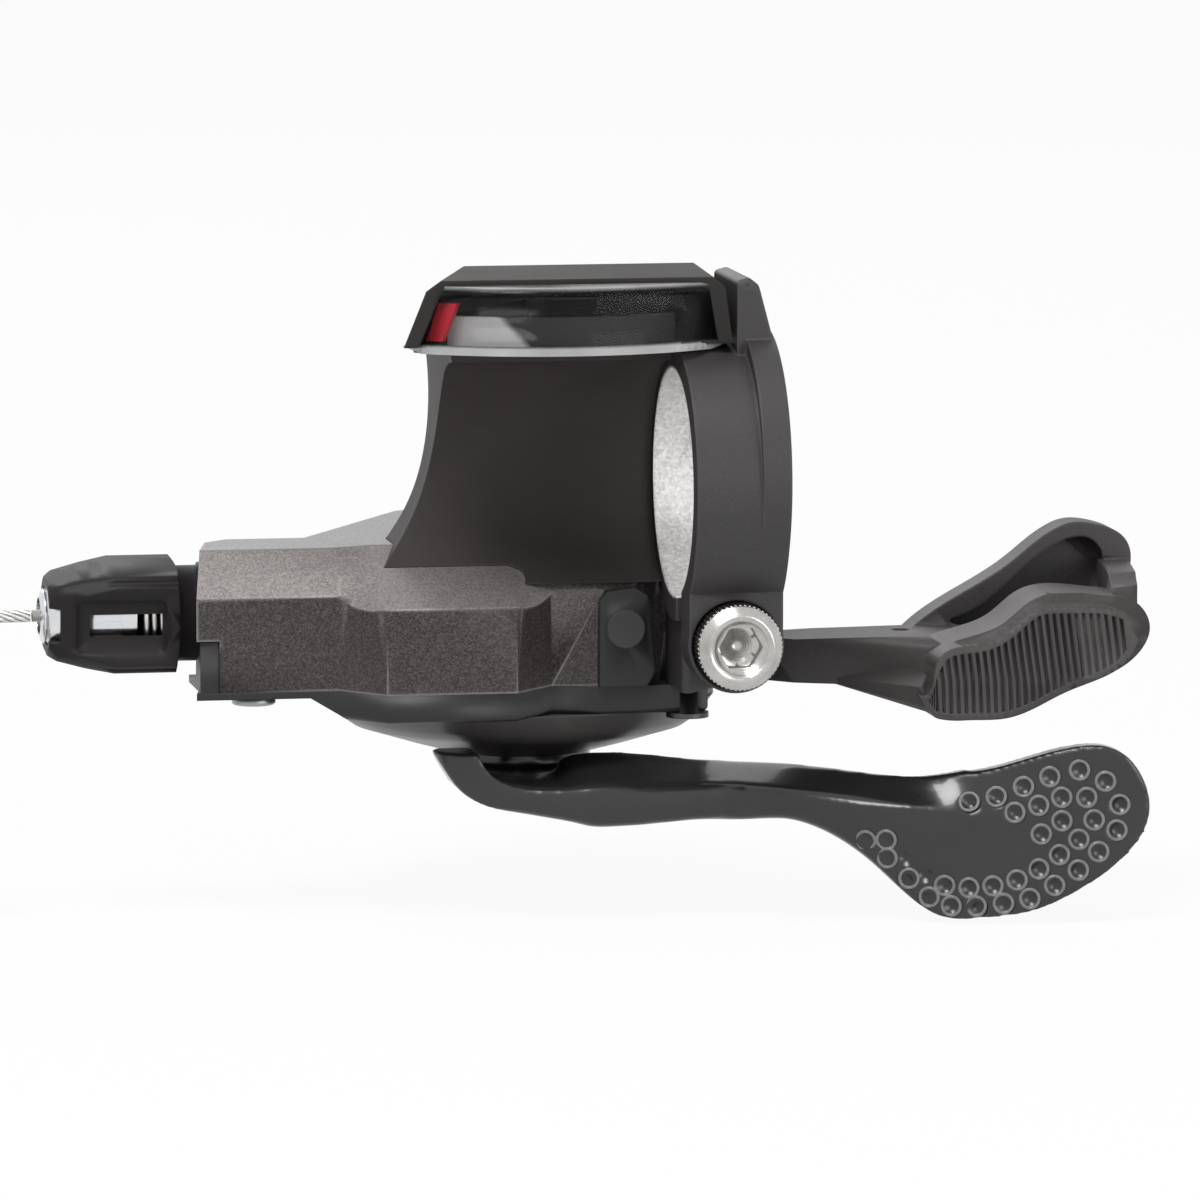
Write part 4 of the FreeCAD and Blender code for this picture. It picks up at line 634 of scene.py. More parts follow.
def evaluated(piece: bpy.types.Object) -> bpy.types.Mesh:
    """A plain mesh of what an object's modifiers or its curve make."""
    graph = bpy.context.evaluated_depsgraph_get()
    return bpy.data.meshes.new_from_object(piece.evaluated_get(graph), depsgraph=graph)


def smoothed(mesh: bpy.types.Mesh, angle: float) -> bpy.types.Mesh:
    """Shade a mesh smooth but for the edges sharper than an angle in degrees."""
    mesh.polygons.foreach_set("use_smooth", [True] * len(mesh.polygons))
    mesh.set_sharp_from_angle(angle=math.radians(angle))
    return mesh


def body_of_node(node: str) -> str:
    """The body that a CAD node rides on."""
    bodies = frame["record"]["behaviour"]["bodies"]
    return next(name for name, nodes in bodies.items() if node in nodes)


def fitted(piece: bpy.types.Object, body: Body) -> bpy.types.Object:
    """Let an added piece ride on a body.

    Args:
        piece: The piece.
        body: The body that carries it.

    Returns:
        The same piece.
    """
    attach(piece, body.value)
    LOG.info("added %s", piece.name)
    return piece


def eased(value: float, low: float, high: float) -> float:
    """Rise smoothly from 0 at low to 1 at high; low may be the larger."""
    share = min(max((value - low) / (high - low), 0.0), 1.0)
    return share * share * (3.0 - 2.0 * share)


def skin(node: str, finish: Finish, angle: float = 26.0, form: Form | None = None,
         cuts: Sequence[Cut] = ()) -> bpy.types.Object:
    """Replace a CAD node by a copy with joined faces and smooth curves.

    Args:
        node: The CAD node's name.
        finish: Its finish.
        angle: Edges sharper than this stay crisp.
        form: Where each point of the copy goes, for small forms that the solid leaves plain.
        cuts: Planes that add edges for the form, each by a point and a direction.

    Returns:
        The new piece.
    """
    mesh = frame["nodes"][node].data.copy()
    work = bmesh.new()
    work.from_mesh(mesh)
    bmesh.ops.remove_doubles(work, verts=work.verts, dist=2e-6)
    for place, direction in cuts:
        everything = [*work.verts, *work.edges, *work.faces]
        bmesh.ops.bisect_plane(work, geom=everything, plane_co=place, plane_no=direction, dist=1e-7)
    if form is not None:
        for vertex in work.verts:
            vertex.co = form(vertex.co)
    work.to_mesh(mesh)
    work.free()
    mesh.materials.clear()
    mesh.materials.append(finish.material())
    piece = linked(node + "_skin", smoothed(mesh, angle))
    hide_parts(node)
    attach(piece, body_of_node(node))
    LOG.info("dressed %s in %s", node, finish.name)
    return piece


def spanned(name: str, corners: Iterable[Vector], finish: Finish) -> bpy.types.Object:
    """The plain solid that spans a set of corners.

    Args:
        name: The piece's name.
        corners: Its corners, in metres.
        finish: Its finish.

    Returns:
        The piece.
    """
    work = bmesh.new()
    for place in corners:
        work.verts.new(place)
    hull = bmesh.ops.convex_hull(work, input=work.verts)
    bmesh.ops.delete(work, geom=hull["geom_interior"], context="VERTS")
    bmesh.ops.recalc_face_normals(work, faces=work.faces)
    mesh = bpy.data.meshes.new(name)
    work.to_mesh(mesh)
    work.free()
    mesh.materials.append(finish.material())
    return linked(name, smoothed(mesh, 24.0))


class NodeRecipe(NodeGraph):
    """A Geometry Nodes tree with named inputs, applied to a plain mesh."""

    def __init__(self, name: str, inputs: dict[str, tuple[str, object]]) -> None:
        """Start the tree.

        Args:
            name: The tree's name.
            inputs: Each input's socket type and value, by name.
        """
        super().__init__(bpy.data.node_groups.new(name, "GeometryNodeTree"))
        self.values = inputs
        face = self.tree.interface
        face.new_socket("Geometry", in_out="INPUT", socket_type="NodeSocketGeometry")
        for label, (kind, _) in inputs.items():
            face.new_socket(label, in_out="INPUT", socket_type=kind)
        face.new_socket("Geometry", in_out="OUTPUT", socket_type="NodeSocketGeometry")
        self.source = self.tree.nodes.new("NodeGroupInput")

    def given(self, label: str) -> Socket:
        """A named input of the tree."""
        return Socket(self, self.source.outputs[label])

    def close(self, geometry: Socket, finish: Finish) -> None:
        """End the tree: real geometry, smooth, in its finish."""
        real = self.node("GeometryNodeRealizeInstances", {}, {0: geometry})
        soft = self.node("GeometryNodeSetShadeSmooth", {}, {0: real})
        dressed = self.node("GeometryNodeSetMaterial", {}, {0: soft, "Material": finish.material()})
        self.node("NodeGroupOutput", {}, {0: dressed})

    def apply(self, name: str, seed_mesh: bpy.types.Mesh) -> bpy.types.Object:
        """Run the tree on a mesh and keep the result as a plain piece.

        Args:
            name: The piece's name.
            seed_mesh: What the tree starts from.

        Returns:
            The finished piece.
        """
        carrier = linked(name + "_seed", seed_mesh)
        modifier = carrier.modifiers.new("recipe", "NODES")
        modifier.node_group = self.tree
        for item in self.tree.interface.items_tree:
            if item.in_out == "INPUT" and item.name in self.values:
                modifier[item.identifier] = self.values[item.name][1]
        result = evaluated(carrier)
        bpy.data.objects.remove(carrier)
        return linked(name, result)


class SubAssembly(ABC):
    """A group of pieces that is built and dressed together."""

    plain: ClassVar[dict[str, Finish]] = {}

    def dress(self) -> None:
        """Dress the nodes that keep the solid's own form."""
        for node, finish in self.plain.items():
            skin(node, finish)

    @abstractmethod
    def build(self) -> None:
        """Make the group's pieces."""


@dataclass
class HandlebarClamp(SubAssembly):
    """The split band, its bolt with a knurled head, and the screw under the lug."""

    plain: ClassVar[dict[str, Finish]] = {"clamp_bolt": BOLT_STEEL, "bracket_screw": SCREW_BLACK}
    bolt_height: float = -0.015
    head_radius: float = 0.0041
    ear_radius: float = 0.0047
    corner_steps: Sequence[float] = (0.0012, 0.0023, 0.0033, 0.0041)
    ridge_count: int = 56
    ridge_length: float = 0.0023
    ridge_width: float = 0.00022
    ridge_start: float = 0.0009
    ridge_sink: float = 0.00002

    def build(self) -> None:
        """Dress the clamp and add the knurl."""
        across, up = (1.0, 0.0, 0.0), (0.0, 0.0, 1.0)
        cuts = [((step, 0.0, 0.0), across) for step in self.corner_steps]
        cuts += [((0.0, 0.0, self.bolt_height - step), up) for step in (0.0, *self.corner_steps)]
        skin("clamp_band", CLAMP_PAINT, 14.0, self.round_lug, cuts)
        self.dress()
        self.knurl()

    def round_lug(self, point: Vector) -> Vector:
        """Round the lug's lower corner to the ear's radius.

        Args:
            point: A point of the band.

        Returns:
            Where it goes.
        """
        drop = point.z - self.bolt_height
        reach = math.hypot(point.x, drop)
        if point.x <= 0.0 or drop >= 0.0 or reach <= self.ear_radius:
            return point
        share = self.ear_radius / reach
        return Vector((point.x * share, point.y, self.bolt_height + drop * share))

    def knurl(self) -> bpy.types.Object:
        """Fine ridges round the bolt's head.

        Returns:
            The ridges as one piece.
        """
        low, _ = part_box("clamp_bolt")
        recipe = NodeRecipe("bolt_knurl", {
            "Count": ("NodeSocketInt", self.ridge_count),
            "Radius": ("NodeSocketFloat", self.head_radius - self.ridge_sink),
            "Length": ("NodeSocketFloat", self.ridge_length),
            "Width": ("NodeSocketFloat", self.ridge_width)})
        circle = recipe.node("GeometryNodeMeshCircle", {"fill_type": "NONE"},
                             {"Vertices": recipe.given("Count"), "Radius": recipe.given("Radius")})
        width = recipe.given("Width")
        size = recipe.node("ShaderNodeCombineXYZ", {}, {0: width, 1: width, 2: recipe.given("Length")})
        ridge = recipe.node("GeometryNodeMeshCube", {}, {"Size": size})
        turn = recipe.node("FunctionNodeAlignRotationToVector", {"axis": "X", "pivot_axis": "Z"},
                           {"Vector": recipe.node("GeometryNodeInputPosition")})
        ridges = recipe.node("GeometryNodeInstanceOnPoints", {},
                             {"Points": circle, "Instance": ridge, "Rotation": turn})
        middle = low[1] + self.ridge_start + self.ridge_length / 2
        moved = recipe.node("GeometryNodeTransform", {}, {
            "Geometry": ridges, "Rotation": (math.pi / 2, 0.0, 0.0),
            "Translation": (0.0, middle, self.bolt_height)})
        recipe.close(moved, BOLT_STEEL)
        piece = recipe.apply("bolt_knurl", bpy.data.meshes.new("bolt_knurl_seed"))
        smoothed(piece.data, 20.0)
        return fitted(piece, Body.UNIT)


@dataclass
class Housing(SubAssembly):
    """The painted cover, the black base and dish under it, and the plain cap beside the clamp."""

    plain: ClassVar[dict[str, Finish]] = {
        "unit_cover": COVER_PAINT, "base_plate": BASE_PLASTIC, "lower_cover": DISH_PLASTIC,
        "port_screw": SCREW_ZINC, "cover_screws": SCREW_ZINC}
    disc_centre: tuple[float, float] = (-0.0085, -0.0149)
    disc_radius: float = 0.00192
    disc_bevel: float = 0.0001
    disc_depth: float = 0.0003
    disc_sides: int = 56

    def build(self) -> None:
        """Dress the housing and set the disc in."""
        self.dress()
        skin("side_cap", CAP_PLASTIC, 12.0, self.sink_disc)
        self.disc()

    def sink_disc(self, point: Vector) -> Vector:
        """Set the cap's own coarse disc back behind the smooth one."""
        low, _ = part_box("side_cap")
        return Vector((point.x, max(point.y, low[1] + self.disc_bevel), point.z))

    def disc(self) -> bpy.types.Object:
        """The bare round disc on the side cap.

        Returns:
            The disc.
        """
        low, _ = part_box("side_cap")
        rings = ((low[1], self.disc_radius - self.disc_bevel),
                 (low[1] + self.disc_bevel, self.disc_radius),
                 (low[1] + self.disc_depth, self.disc_radius))
        corners = []
        for depth, radius in rings:
            for step in range(self.disc_sides):
                turn = 2 * math.pi * step / self.disc_sides
                corners.append(Vector((self.disc_centre[0] + radius * math.cos(turn), depth,
                                       self.disc_centre[1] + radius * math.sin(turn))))
        return fitted(spanned("side_cap_disc", corners, LABEL_SATIN), Body.UNIT)


@dataclass
class Mechanism(SubAssembly):
    """What turns inside the housing."""

    plain: ClassVar[dict[str, Finish]] = {
        "main_axle": MECHANISM_STEEL, "axle_nut": MECHANISM_STEEL, "cable_winder": WINDER_RESIN,
        "cable_head": MECHANISM_STEEL, "ratchet_wheel": MECHANISM_STEEL, "hold_pawl": MECHANISM_STEEL,
        "hold_pin": MECHANISM_STEEL, "feed_pawl": MECHANISM_STEEL, "feed_pin": MECHANISM_STEEL,
        "drive_plate": MECHANISM_STEEL, "lever_sleeve": MECHANISM_STEEL, "lever_spring": SPRING_STEEL,
        "winder_spring": SPRING_STEEL, "release_pin": MECHANISM_STEEL, "shift_cable": MECHANISM_STEEL}

    def build(self) -> None:
        """Dress the mechanism."""
        self.dress()


@dataclass
class GearWindow(SubAssembly):
    """The neck over the bar, the hood, the clear lens, the dial and the needle."""

    plain: ClassVar[dict[str, Finish]] = {
        "display_dial": DIAL_PRINT, "display_needle": NEEDLE_RED, "needle_shaft": WINDER_RESIN,
        "neck_screws": SCREW_ZINC}
    flank: tuple[float, float] = (-0.02, -0.029)
    flank_lean: float = 0.27
    cheek: tuple[float, float] = (-0.009, -0.003)
    cheek_lean: float = 0.26
    roof_edge: tuple[float, float] = (0.003, 0.005)
    roof_fall: float = 0.025
    roof_spread: float = 0.09
    shaft: tuple[float, float] = (-0.016, 0.01325)
    floor_end: tuple[float, float] = (-0.027, -0.029)
    floor_radius: float = 0.0208
    floor_depth: float = 0.0009
    floor_gap: float = 0.0002
    rim_end: float = -0.0301
    neck_end: float = -0.005
    neck_reach: float = 0.00036
    sill_lap: float = 0.0003
    sill_inset: float = 0.0002
    sill_drop: float = 0.00005

    def build(self) -> None:
        """Dress the window and close its right end."""
        self.dress()
        skin("display_cap", HOOD_PLASTIC, 12.0, self.hood_form)
        skin("display_lens", LENS_CLEAR, form=self.hood_form)
        skin("display_neck", NECK_PLASTIC, form=self.floor_form)
        self.sill()

    def sill(self) -> bpy.types.Object:
        """The hood's own sill over the clamp, which closes the window's right end from below.

        Returns:
            The sill.
        """
        low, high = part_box("display_cap")
        sides = (self.neck_end - self.sill_lap, high[0] - NEAR)
        depths = (low[1] + self.sill_inset, high[1] - self.sill_inset)
        levels = (low[2] - self.sill_drop, low[2] + self.sill_inset)
        corners = [Vector(corner) for corner in product(sides, depths, levels)]
        return fitted(spanned("display_sill", corners, HOOD_PLASTIC), Body.UNIT)

    def hood_form(self, point: Vector) -> Vector:
        """Draw the hood's left flank in at its far end, set its right cheek upright and slope its roof.

        Args:
            point: A point of the hood or the lens.

        Returns:
            Where it goes.
        """
        low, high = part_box("display_cap")
        if point.z < low[2] - NEAR:
            return Vector((max(point.x, self.rim_end), point.y, point.z))
        depth, rise = max(point.y - low[1], 0.0), max(point.z - low[2], 0.0)
        roof = eased(rise, *self.roof_edge)
        left = eased(point.x, *self.flank) * depth * self.flank_lean
        spread = rise * self.cheek_lean + roof * depth * self.roof_spread
        side = point.x + left + eased(point.x, *self.cheek) * spread
        return Vector((min(side, high[0]), point.y, point.z - roof * depth * self.roof_fall))

    def floor_form(self, point: Vector) -> Vector:
        """Keep the window's floor inside the hood, and just clear of the lens.

        Args:
            point: A point of the neck.

        Returns:
            Where it goes.
        """
        low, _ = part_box("display_cap")
        if point.x > self.neck_end - NEAR:
            point = Vector((self.neck_end + self.neck_reach, point.y, point.z))
        if point.z < low[2] - self.floor_depth:
            return point
        across, along = point.x - self.shaft[0], point.y - self.shaft[1]
        reach = math.hypot(across, along)
        share = 1.0 - self.floor_gap / reach if reach > self.floor_radius - self.floor_gap else 1.0
        left = eased(point.x, *self.floor_end) * max(point.y - low[1], 0.0) * self.flank_lean
        return Vector((self.shaft[0] + across * share + left, self.shaft[1] + along * share, point.z))


@dataclass
class CableAdjuster(SubAssembly):
    """The knob, the plated hollow bolt in it and the spring."""

    plain: ClassVar[dict[str, Finish]] = {"adjuster_knob": KNOB_PLASTIC}
    axis: tuple[float, float] = (0.0132, -0.0135)
    head_back: float = -0.0645
    barrel_end: float = -0.0572
    barrel_reach: float = 0.0012
    end_band: float = 0.00002
    dome_height: float = 0.5
    dome_width: float = 0.72
    spring_end: float = -0.0515

    def build(self) -> None:
        """Dress the adjuster."""
        self.dress()
        skin("adjuster_bolt", ADJUSTER_PLATE, form=self.bolt_form,
             cuts=[((self.head_back, 0.0, 0.0), (1.0, 0.0, 0.0))])
        skin("adjuster_spring", SPRING_STEEL, form=self.spring_form)

    def bolt_form(self, point: Vector) -> Vector:
        """Draw the bolt's end in to a low dome, and the barrel on to fill the sight slot.

        Args:
            point: A point of the bolt.

        Returns:
            Where it goes.
        """
        if abs(point.x - self.barrel_end) < self.end_band:
            return Vector((point.x + self.barrel_reach, point.y, point.z))
        if point.x > self.head_back - NEAR:
            return point
        slide = self.head_back + (point.x - self.head_back) * self.dome_height
        across = (point.y - self.axis[0]) * self.dome_width
        rise = (point.z - self.axis[1]) * self.dome_width
        return Vector((slide, self.axis[0] + across, self.axis[1] + rise))

    def spring_form(self, point: Vector) -> Vector:
        """Shorten the spring to start behind the barrel."""
        free = self.spring_end - self.barrel_end
        share = (free - self.barrel_reach) / free
        return Vector((self.spring_end + (point.x - self.spring_end) * share, point.y, point.z))


@dataclass
class ThumbLever(SubAssembly):
    """The forged thumb lever with a raised rim round each pit of its paddle."""

    rim_radius: float = 0.00092
    rim_wire: float = 0.00017
    rim_spacing: float = 1.9
    rim_sink: float = 0.00004
    probe_radius: float = 0.00115
    probe_start: float = -0.04
    probe_count: int = 6
    probe_hits: int = 4
    plate_level: float = -0.0301
    voxel: float = 0.00026
    arm_root: tuple[float, float] = (-0.0225, -0.0185)
    arm_end: tuple[float, float] = (0.019, 0.012)
    arm_back: tuple[float, float] = (0.0145, 0.0115)
    arm_passes: int = 90
    fine_passes: int = 4
    outer: Sequence[tuple[float, float]] = (
        (24.3, -1.6), (26.9, -1.1), (29.5, -0.1), (32.0, 0.9), (34.8, 1.6), (37.3, 0.5), (38.7, -1.8),
        (38.4, -4.3), (36.6, -6.4), (34.6, -8.2), (32.3, -9.7), (29.9, -11.0), (27.5, -11.7),
        (24.9, -12.0), (22.4, -11.8), (19.9, -11.2), (18.0, -9.4), (16.3, -7.4), (14.4, -5.5))
    inner: Sequence[tuple[float, float]] = (
        (28.6, -2.6), (30.9, -1.9), (33.1, -1.1), (35.5, -1.1), (36.2, -3.3), (33.1, -3.4),
        (31.1, -4.7), (34.7, -5.2), (32.8, -6.7), (30.8, -8.1), (28.7, -9.2), (26.4, -9.8),
        (24.1, -10.0), (21.8, -9.8), (19.8, -8.7), (18.0, -7.1), (16.3, -5.4))

    def build(self) -> None:
        """Dress the lever and raise the rims."""
        lever = skin("main_lever", LEVER_ENAMEL)
        self.soften(lever)
        self.rims(lever)

    def soften(self, lever: bpy.types.Object) -> None:
        """Run the forged faces into each other: softly over the arm, only just elsewhere.

        Args:
            lever: The lever's skin.
        """
        even = lever.modifiers.new("even", "REMESH")
        even.mode = "VOXEL"
        even.voxel_size = self.voxel
        self.settle(lever)
        arm = lever.vertex_groups.new(name="arm")
        for vertex in lever.data.vertices:
            side, forward, _ = vertex.co
            along = eased(side, *self.arm_root) * eased(side, *self.arm_end)
            weight = along * eased(forward, *self.arm_back)
            if weight > 0.0:
                arm.add([vertex.index], weight, "REPLACE")
        for group, passes in ((arm.name, self.arm_passes), ("", self.fine_passes)):
            smooth = lever.modifiers.new("smooth", "SMOOTH")
            smooth.iterations = passes
            smooth.vertex_group = group
        self.settle(lever)
        lever.vertex_groups.clear()
        smoothed(lever.data, 60.0)

    @staticmethod
    def settle(piece: bpy.types.Object) -> None:
        """Keep what the piece's modifiers make as its plain mesh."""
        mesh = evaluated(piece)
        piece.modifiers.clear()
        piece.data = mesh

    def spots(self, lever: bpy.types.Object) -> bpy.types.Mesh:
        """Points on the paddle round each pit, with the surface's direction.

        Args:
            lever: The lever's skin.

        Returns:
            A mesh of points that carry their direction as "lean".
        """
        tree = BVHTree.FromObject(lever, bpy.context.evaluated_depsgraph_get())
        places, leans = [], []
        forward = Vector((0.0, 1.0, 0.0))
        for x, rise in (*self.outer, *self.inner):
            hits = []
            for step in range(self.probe_count):
                turn = 2 * math.pi * step / self.probe_count
                start = Vector((x * MM + self.probe_radius * math.cos(turn), self.probe_start,
                                self.plate_level + rise * MM + self.probe_radius * math.sin(turn)))
                spot, lean, _, _ = tree.ray_cast(start, forward)
                if spot is not None:
                    hits.append((spot, lean))
            if len(hits) < self.probe_hits:
                continue
            lean = sum((hit[1] for hit in hits), Vector()).normalized()
            place = sum((hit[0] for hit in hits), Vector()) / len(hits)
            if any((place - other).length < self.rim_spacing * self.rim_radius for other in places):
                continue
            places.append(place - lean * self.rim_sink)
            leans.append(lean)
        mesh = bpy.data.meshes.new("paddle_spots")
        mesh.from_pydata(places, [], [])
        data = mesh.attributes.new("lean", "FLOAT_VECTOR", "POINT")
        data.data.foreach_set("vector", [part for lean in leans for part in lean])
        return mesh

    def rims(self, lever: bpy.types.Object) -> bpy.types.Object:
        """The raised rims.

        Args:
            lever: The lever's skin.

        Returns:
            All the rims as one piece.
        """
        recipe = NodeRecipe("dimple_rims", {
            "Rim Radius": ("NodeSocketFloat", self.rim_radius),
            "Rim Wire": ("NodeSocketFloat", self.rim_wire)})
        ring = recipe.node("GeometryNodeCurvePrimitiveCircle", {"mode": "RADIUS"},
                           {"Resolution": 28, "Radius": recipe.given("Rim Radius")})
        wire = recipe.node("GeometryNodeCurvePrimitiveCircle", {"mode": "RADIUS"},
                           {"Resolution": 8, "Radius": recipe.given("Rim Wire")})
        rim_highlight = recipe.node("GeometryNodeCurveToMesh", {}, {0: ring, 1: wire})
        lean = recipe.node("GeometryNodeInputNamedAttribute", {"data_type": "FLOAT_VECTOR"},
                           {"Name": "lean"})
        turn = recipe.node("FunctionNodeAlignRotationToVector", {"axis": "Z"}, {"Vector": lean})
        rims = recipe.node("GeometryNodeInstanceOnPoints", {},
                           {"Points": recipe.given("Geometry"), "Instance": rim_highlight, "Rotation": turn})
        # The rims take the paler enamel, a painted highlight on the rings.
        recipe.close(rims, RIM_HIGHLIGHT_ENAMEL)
        piece = recipe.apply("paddle_rims", self.spots(lever))
        return fitted(piece, Body.MAIN_LEVER)


@dataclass
class ReleaseLever(SubAssembly):
    """The moulded release lever with its ribbed pad, and the web under the arm that carries the pad."""

    pad_back: float = -0.0003
    pad_end: float = 0.0207
    pad_squeeze: float = 0.3
    post_side: float = 0.039
    post_back: float = 0.001
    post_foot: float = -0.0171
    web: Sequence[tuple[float, float, float]] = (
        (12.5, 5.4, -20.9), (12.5, 8.0, -20.9), (12.5, 5.2, -20.3), (19.4, -3.8, -20.2),
        (19.5, -4.1, -22.0), (20.7, -4.2, -22.9), (23.0, -3.8, -23.2), (23.0, 4.0, -21.9),
        (22.0, 8.0, -20.9), (21.5, 1.3, -18.6))

    def build(self) -> None:
        """Dress the lever and add the web."""
        skin("release_lever", RELEASE_RESIN, 24.0, self.pad_form)
        self.add_web()

    def pad_form(self, point: Vector) -> Vector:
        """Blunt the pad's near end and lift the post's foot behind the pad.

        Args:
            point: A point of the lever.

        Returns:
            Where it goes.
        """
        if point.x > self.post_side and point.z < self.post_foot and point.y > self.post_back:
            return Vector((point.x, point.y, self.post_foot))
        if point.y > self.pad_back or point.x > self.pad_end:
            return point
        return Vector((self.pad_end + (point.x - self.pad_end) * self.pad_squeeze, point.y, point.z))

    def add_web(self) -> bpy.types.Object:
        """The web between the arm's underside and the pad.

        Returns:
            The web.
        """
        corners = [Vector(place) * MM for place in self.web]
        web = spanned("release_web", corners, RELEASE_RESIN)
        return fitted(web, Body.RELEASE_LEVER)


@dataclass
class ShiftCable(SubAssembly):
    """The free length of the shift cable: a straight stretch, then a tied coil."""

    diameter: float = 0.0012
    exit: tuple[float, float, float] = (-0.0662, 0.0132, -0.0135)
    coil_x: float = -0.085
    turn_radius: float = 0.0133
    pitch: float = 0.00125
    layers: int = 5
    rows: int = 6
    points_per_turn: int = 16
    sides: int = 10
    crossing: float = 50.0
    length: float = 2.02

    def route(self) -> list[Vector]:
        """The spline's points: the run to the coil and the turns of each layer.

        Returns:
            The points in order, in metres.
        """
        x0, y0, z0 = self.exit
        centre_z = z0 - self.turn_radius
        edge_y = y0 - self.pitch * (self.rows - 1) / 2
        points = [Vector((x0, y0, z0)), Vector((x0 - 0.004, y0, z0)),
                  Vector((x0 - 0.008, y0 - 0.0005, z0)), Vector((x0 - 0.0125, edge_y + 0.0004, z0))]
        swell = 1.0 / math.cos(math.pi / self.points_per_turn) ** 0.5
        turns = self.layers * self.rows
        steps = int((turns - 0.5) * self.points_per_turn)
        for step in range(steps + 1):
            angle = 90.0 + 360.0 * step / self.points_per_turn
            layer, row = self.lane((angle - 270.0) / 360.0)
            radius = (self.turn_radius - layer * self.pitch) * swell
            turn = math.radians(angle)
            points.append(Vector((self.coil_x + radius * math.cos(turn), edge_y + row * self.pitch,
                                  centre_z + radius * math.sin(turn))))
        return points

    def lane(self, turns_done: float) -> tuple[float, float]:
        """The layer and row at a place along the coil, with a quick step over at its lowest point.

        Args:
            turns_done: Turns since the first pass of the lowest point.

        Returns:
            The layer from the outside and the row, both with fractions in a step.
        """
        whole = math.floor(turns_done + 0.5)
        share = (turns_done + 0.5 - whole) - 0.5
        half = self.crossing / 720.0
        ease = min(max((share + half) / (2 * half), 0.0), 1.0)
        before, after = self.seat(whole), self.seat(whole + 1)
        return tuple(a + (b - a) * ease for a, b in zip(before, after))

    def seat(self, count: int) -> tuple[int, int]:
        """The layer and row of a whole turn."""
        count = min(max(count, 0), self.layers * self.rows - 1)
        layer, place = divmod(count, self.rows)
        return layer, place if layer % 2 == 0 else self.rows - 1 - place

    def centreline(self) -> list[Vector]:
        """Points read from the route's spline."""
        route = self.route()
        curve = bpy.data.curves.new("cable_route", "CURVE")
        curve.dimensions = "3D"
        curve.resolution_u = 3
        spline = curve.splines.new("NURBS")
        spline.points.add(len(route) - 1)
        for point, place in zip(spline.points, route):
            point.co = (*place, 1.0)
        spline.order_u = 3
        spline.use_endpoint_u = True
        carrier = bpy.data.objects.new("cable_route", curve)
        bpy.context.scene.collection.objects.link(carrier)
        points = [vertex.co.copy() for vertex in evaluated(carrier).vertices]
        bpy.data.objects.remove(carrier)
        return points

    def build(self) -> None:
        """Make the tube round the centreline and dress the tie."""
        points = self.centreline()
        mesh = self.tube(points)
        mesh.materials.append(CABLE_WIRES.material())
        cable = linked("shift_cable_free", mesh)
        tie = skin("coil_tie", TIE_PLASTIC)
        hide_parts("cable_run", "cable_coil")
        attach(cable, Body.UNIT.value)
        LOG.info("laid the cable, %d points", len(points))

    def tube(self, points: Sequence[Vector]) -> bpy.types.Mesh:
        """A tube round a line, with a map of length and turn for its strands.

        Args:
            points: The centreline.

        Returns:
            The tube's mesh with both ends closed.
        """
        radius = self.diameter / 2
        up = Vector((0.0, 1.0, 0.0))
        verts, run, travelled = [], 0.0, []
        for index, point in enumerate(points):
            before = points[max(index - 1, 0)]
            after = points[min(index + 1, len(points) - 1)]
            heading = (after - before).normalized()
            aside = heading.cross(up).normalized()
            lift = aside.cross(heading).normalized()
            run += (point - before).length
            travelled.append(run)
            for side in range(self.sides):
                turn = 2 * math.pi * side / self.sides
                verts.append(point + (aside * math.cos(turn) + lift * math.sin(turn)) * radius)
        faces, maps = [], []
        for ring in range(len(points) - 1):
            for side in range(self.sides):
                following = (side + 1) % self.sides
                near, far = ring * self.sides, (ring + 1) * self.sides
                faces.append((near + side, near + following, far + following, far + side))
                left, right = side / self.sides, (side + 1) / self.sides
                start, end = travelled[ring], travelled[ring + 1]
                maps += [(start, left), (start, right), (end, right), (end, left)]
        last = (len(points) - 1) * self.sides
        faces.append(tuple(range(self.sides - 1, -1, -1)))
        faces.append(tuple(last + side for side in range(self.sides)))
        maps += [(0.0, 0.0)] * (2 * self.sides)
        mesh = bpy.data.meshes.new("shift_cable_free")
        mesh.from_pydata(verts, [], faces)
        layer = mesh.uv_layers.new(name="cable_map")
        layer.data.foreach_set("uv", [part for pair in maps for part in pair])
        work = bmesh.new()
        work.from_mesh(mesh)
        bmesh.ops.recalc_face_normals(work, faces=work.faces)
        work.to_mesh(mesh)
        work.free()
        return smoothed(mesh, 50.0)


@dataclass(frozen=True)
class Lamp:
    """A square soft lamp that faces a point."""

    name: str
    place: tuple[float, float, float]
    target: tuple[float, float, float]
    size: float
    power: float

    def build(self) -> None:
        """Hang the lamp and turn it to its target."""
        light = bpy.data.lights.new(self.name, "AREA")
        light.size = self.size
        light.energy = self.power
        made = bpy.data.objects.new(self.name, light)
        made.location = self.place
        ray = Vector(self.target) - Vector(self.place)
        made.rotation_euler = ray.to_track_quat("-Z", "Y").to_euler()
        bpy.context.scene.collection.objects.link(made)


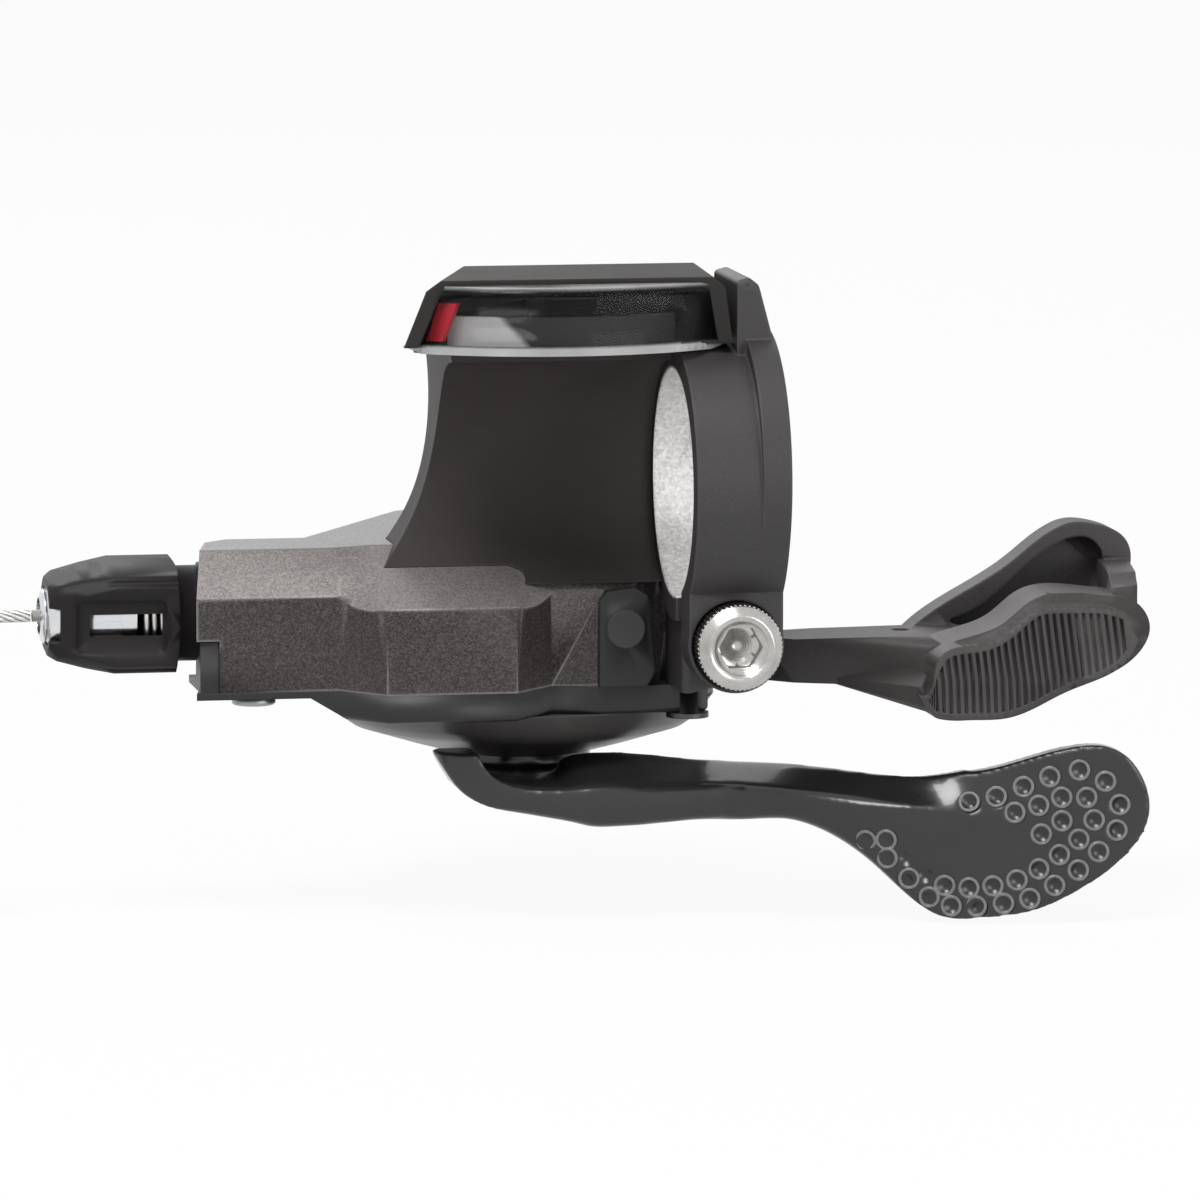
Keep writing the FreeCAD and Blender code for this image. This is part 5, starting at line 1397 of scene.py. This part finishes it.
@dataclass
class Studio:
    """The pale floor, the soft light and the camera at the photograph's angle."""

    azimuth: float = -9.75
    elevation: float = 7.0
    distance: float = 1.0
    scale: float = 10250.0
    picture: float = 1200.0
    origin_pixel: tuple[float, float] = (719.5, 481.0)
    floor_level: float = -0.0437
    floor_reach: float = 3.0
    floor_white: float = 0.93
    sensor: float = 36.0
    soft_light: float = 0.34
    lamps: Sequence[Lamp] = (
        Lamp("key", (-0.3, -0.42, 0.85), (-0.02, 0.0, -0.01), 0.4, 7.0),
        Lamp("fill", (0.55, -0.75, 0.2), (0.0, 0.0, -0.01), 0.5, 3.0),
        Lamp("rear", (-0.15, 0.8, 0.5), (-0.02, 0.0, 0.0), 0.6, 1.4))

    def build(self) -> None:
        """Set up the whole stage."""
        scene = bpy.context.scene
        scene.view_settings.view_transform = "Standard"
        self.floor()
        self.world(scene)
        for lamp in self.lamps:
            lamp.build()
        self.camera(scene)
        LOG.info("set up the stage")

    def camera(self, scene: bpy.types.Scene) -> None:
        """Aim the camera so that the clamp's centre falls on its pixel."""
        turn, rise = math.radians(self.azimuth), math.radians(self.elevation)
        level = math.cos(rise)
        back = Vector((math.sin(turn) * level, -math.cos(turn) * level, math.sin(rise)))
        right = Vector((math.cos(turn), math.sin(turn), 0.0))
        up = back.cross(right)
        half = self.picture / 2
        target = (right * ((half - self.origin_pixel[0]) / self.scale)
                  + up * ((self.origin_pixel[1] - half) / self.scale))
        lens = bpy.data.cameras.new("camera")
        lens.sensor_width = self.sensor
        lens.lens = self.sensor * self.distance / (self.picture / self.scale)
        lens.clip_start = 0.01
        made = bpy.data.objects.new("camera", lens)
        made.matrix_world = Matrix.Translation(target + back * self.distance) @ Matrix(
            (right, up, back)).transposed().to_4x4()
        scene.collection.objects.link(made)
        scene.camera = made

    def floor(self) -> None:
        """A wide pale floor just under the lowest piece."""
        reach = self.floor_reach
        corners = [(x, y, self.floor_level) for x, y in
                   ((-reach, -reach), (reach, -reach), (reach, reach), (-reach, reach))]
        mesh = bpy.data.meshes.new("floor")
        mesh.from_pydata(corners, [], [(0, 1, 2, 3)])
        made = bpy.data.materials.new("floor_pale")
        made.use_nodes = True
        graph = ShaderGraph(made.node_tree)
        cloud = graph.noise(graph.place(), 3.0, 2.0)
        colour = graph.mixed(cloud, (0.86, 0.86, 0.86), (0.9, 0.9, 0.9))
        matt = graph.node("ShaderNodeBsdfDiffuse", {}, {"Color": colour})
        glow = graph.node("ShaderNodeEmission", {}, {"Color": (1.0, 1.0, 1.0, 1.0), "Strength": 1.0})
        share = self.seen(graph) * self.floor_white
        graph.finish(graph.node("ShaderNodeMixShader", {}, {0: share, 1: matt, 2: glow}))
        mesh.materials.append(made)
        linked("floor", mesh)

    @staticmethod
    def seen(graph: ShaderGraph) -> Socket:
        """1 for rays that show the background: from the camera, in gloss and through clear pieces."""
        rays = [graph.node("ShaderNodeLightPath", output=name)
                for name in ("Is Camera Ray", "Is Glossy Ray", "Is Transmission Ray")]
        return (rays[0] + rays[1] + rays[2]).clamped()

    def world(self, scene: bpy.types.Scene) -> None:
        """White where it is seen, a soft even light elsewhere."""
        world = bpy.data.worlds.new("studio")
        world.use_nodes = True
        scene.world = world
        graph = ShaderGraph(world.node_tree)
        white = (1.0, 1.0, 1.0, 1.0)
        soft = graph.node("ShaderNodeBackground", {}, {"Color": white, "Strength": self.soft_light})
        plain = graph.node("ShaderNodeBackground", {}, {"Color": white, "Strength": 1.0})
        mixed = graph.node("ShaderNodeMixShader", {}, {0: self.seen(graph), 1: soft, 2: plain})
        graph.finish(mixed, "ShaderNodeOutputWorld")


def main() -> None:
    """Build the stage and every sub-assembly in order."""
    logging.basicConfig(level=logging.INFO, format="%(name)s: %(message)s")
    Studio().build()
    groups: Sequence[SubAssembly] = (
        ShiftCable(), HandlebarClamp(), Housing(), Mechanism(), GearWindow(), CableAdjuster(),
        ThumbLever(), ReleaseLever())
    for group in groups:
        group.build()
        LOG.info("built %s", type(group).__name__)


if __name__ == "__main__":
    main()
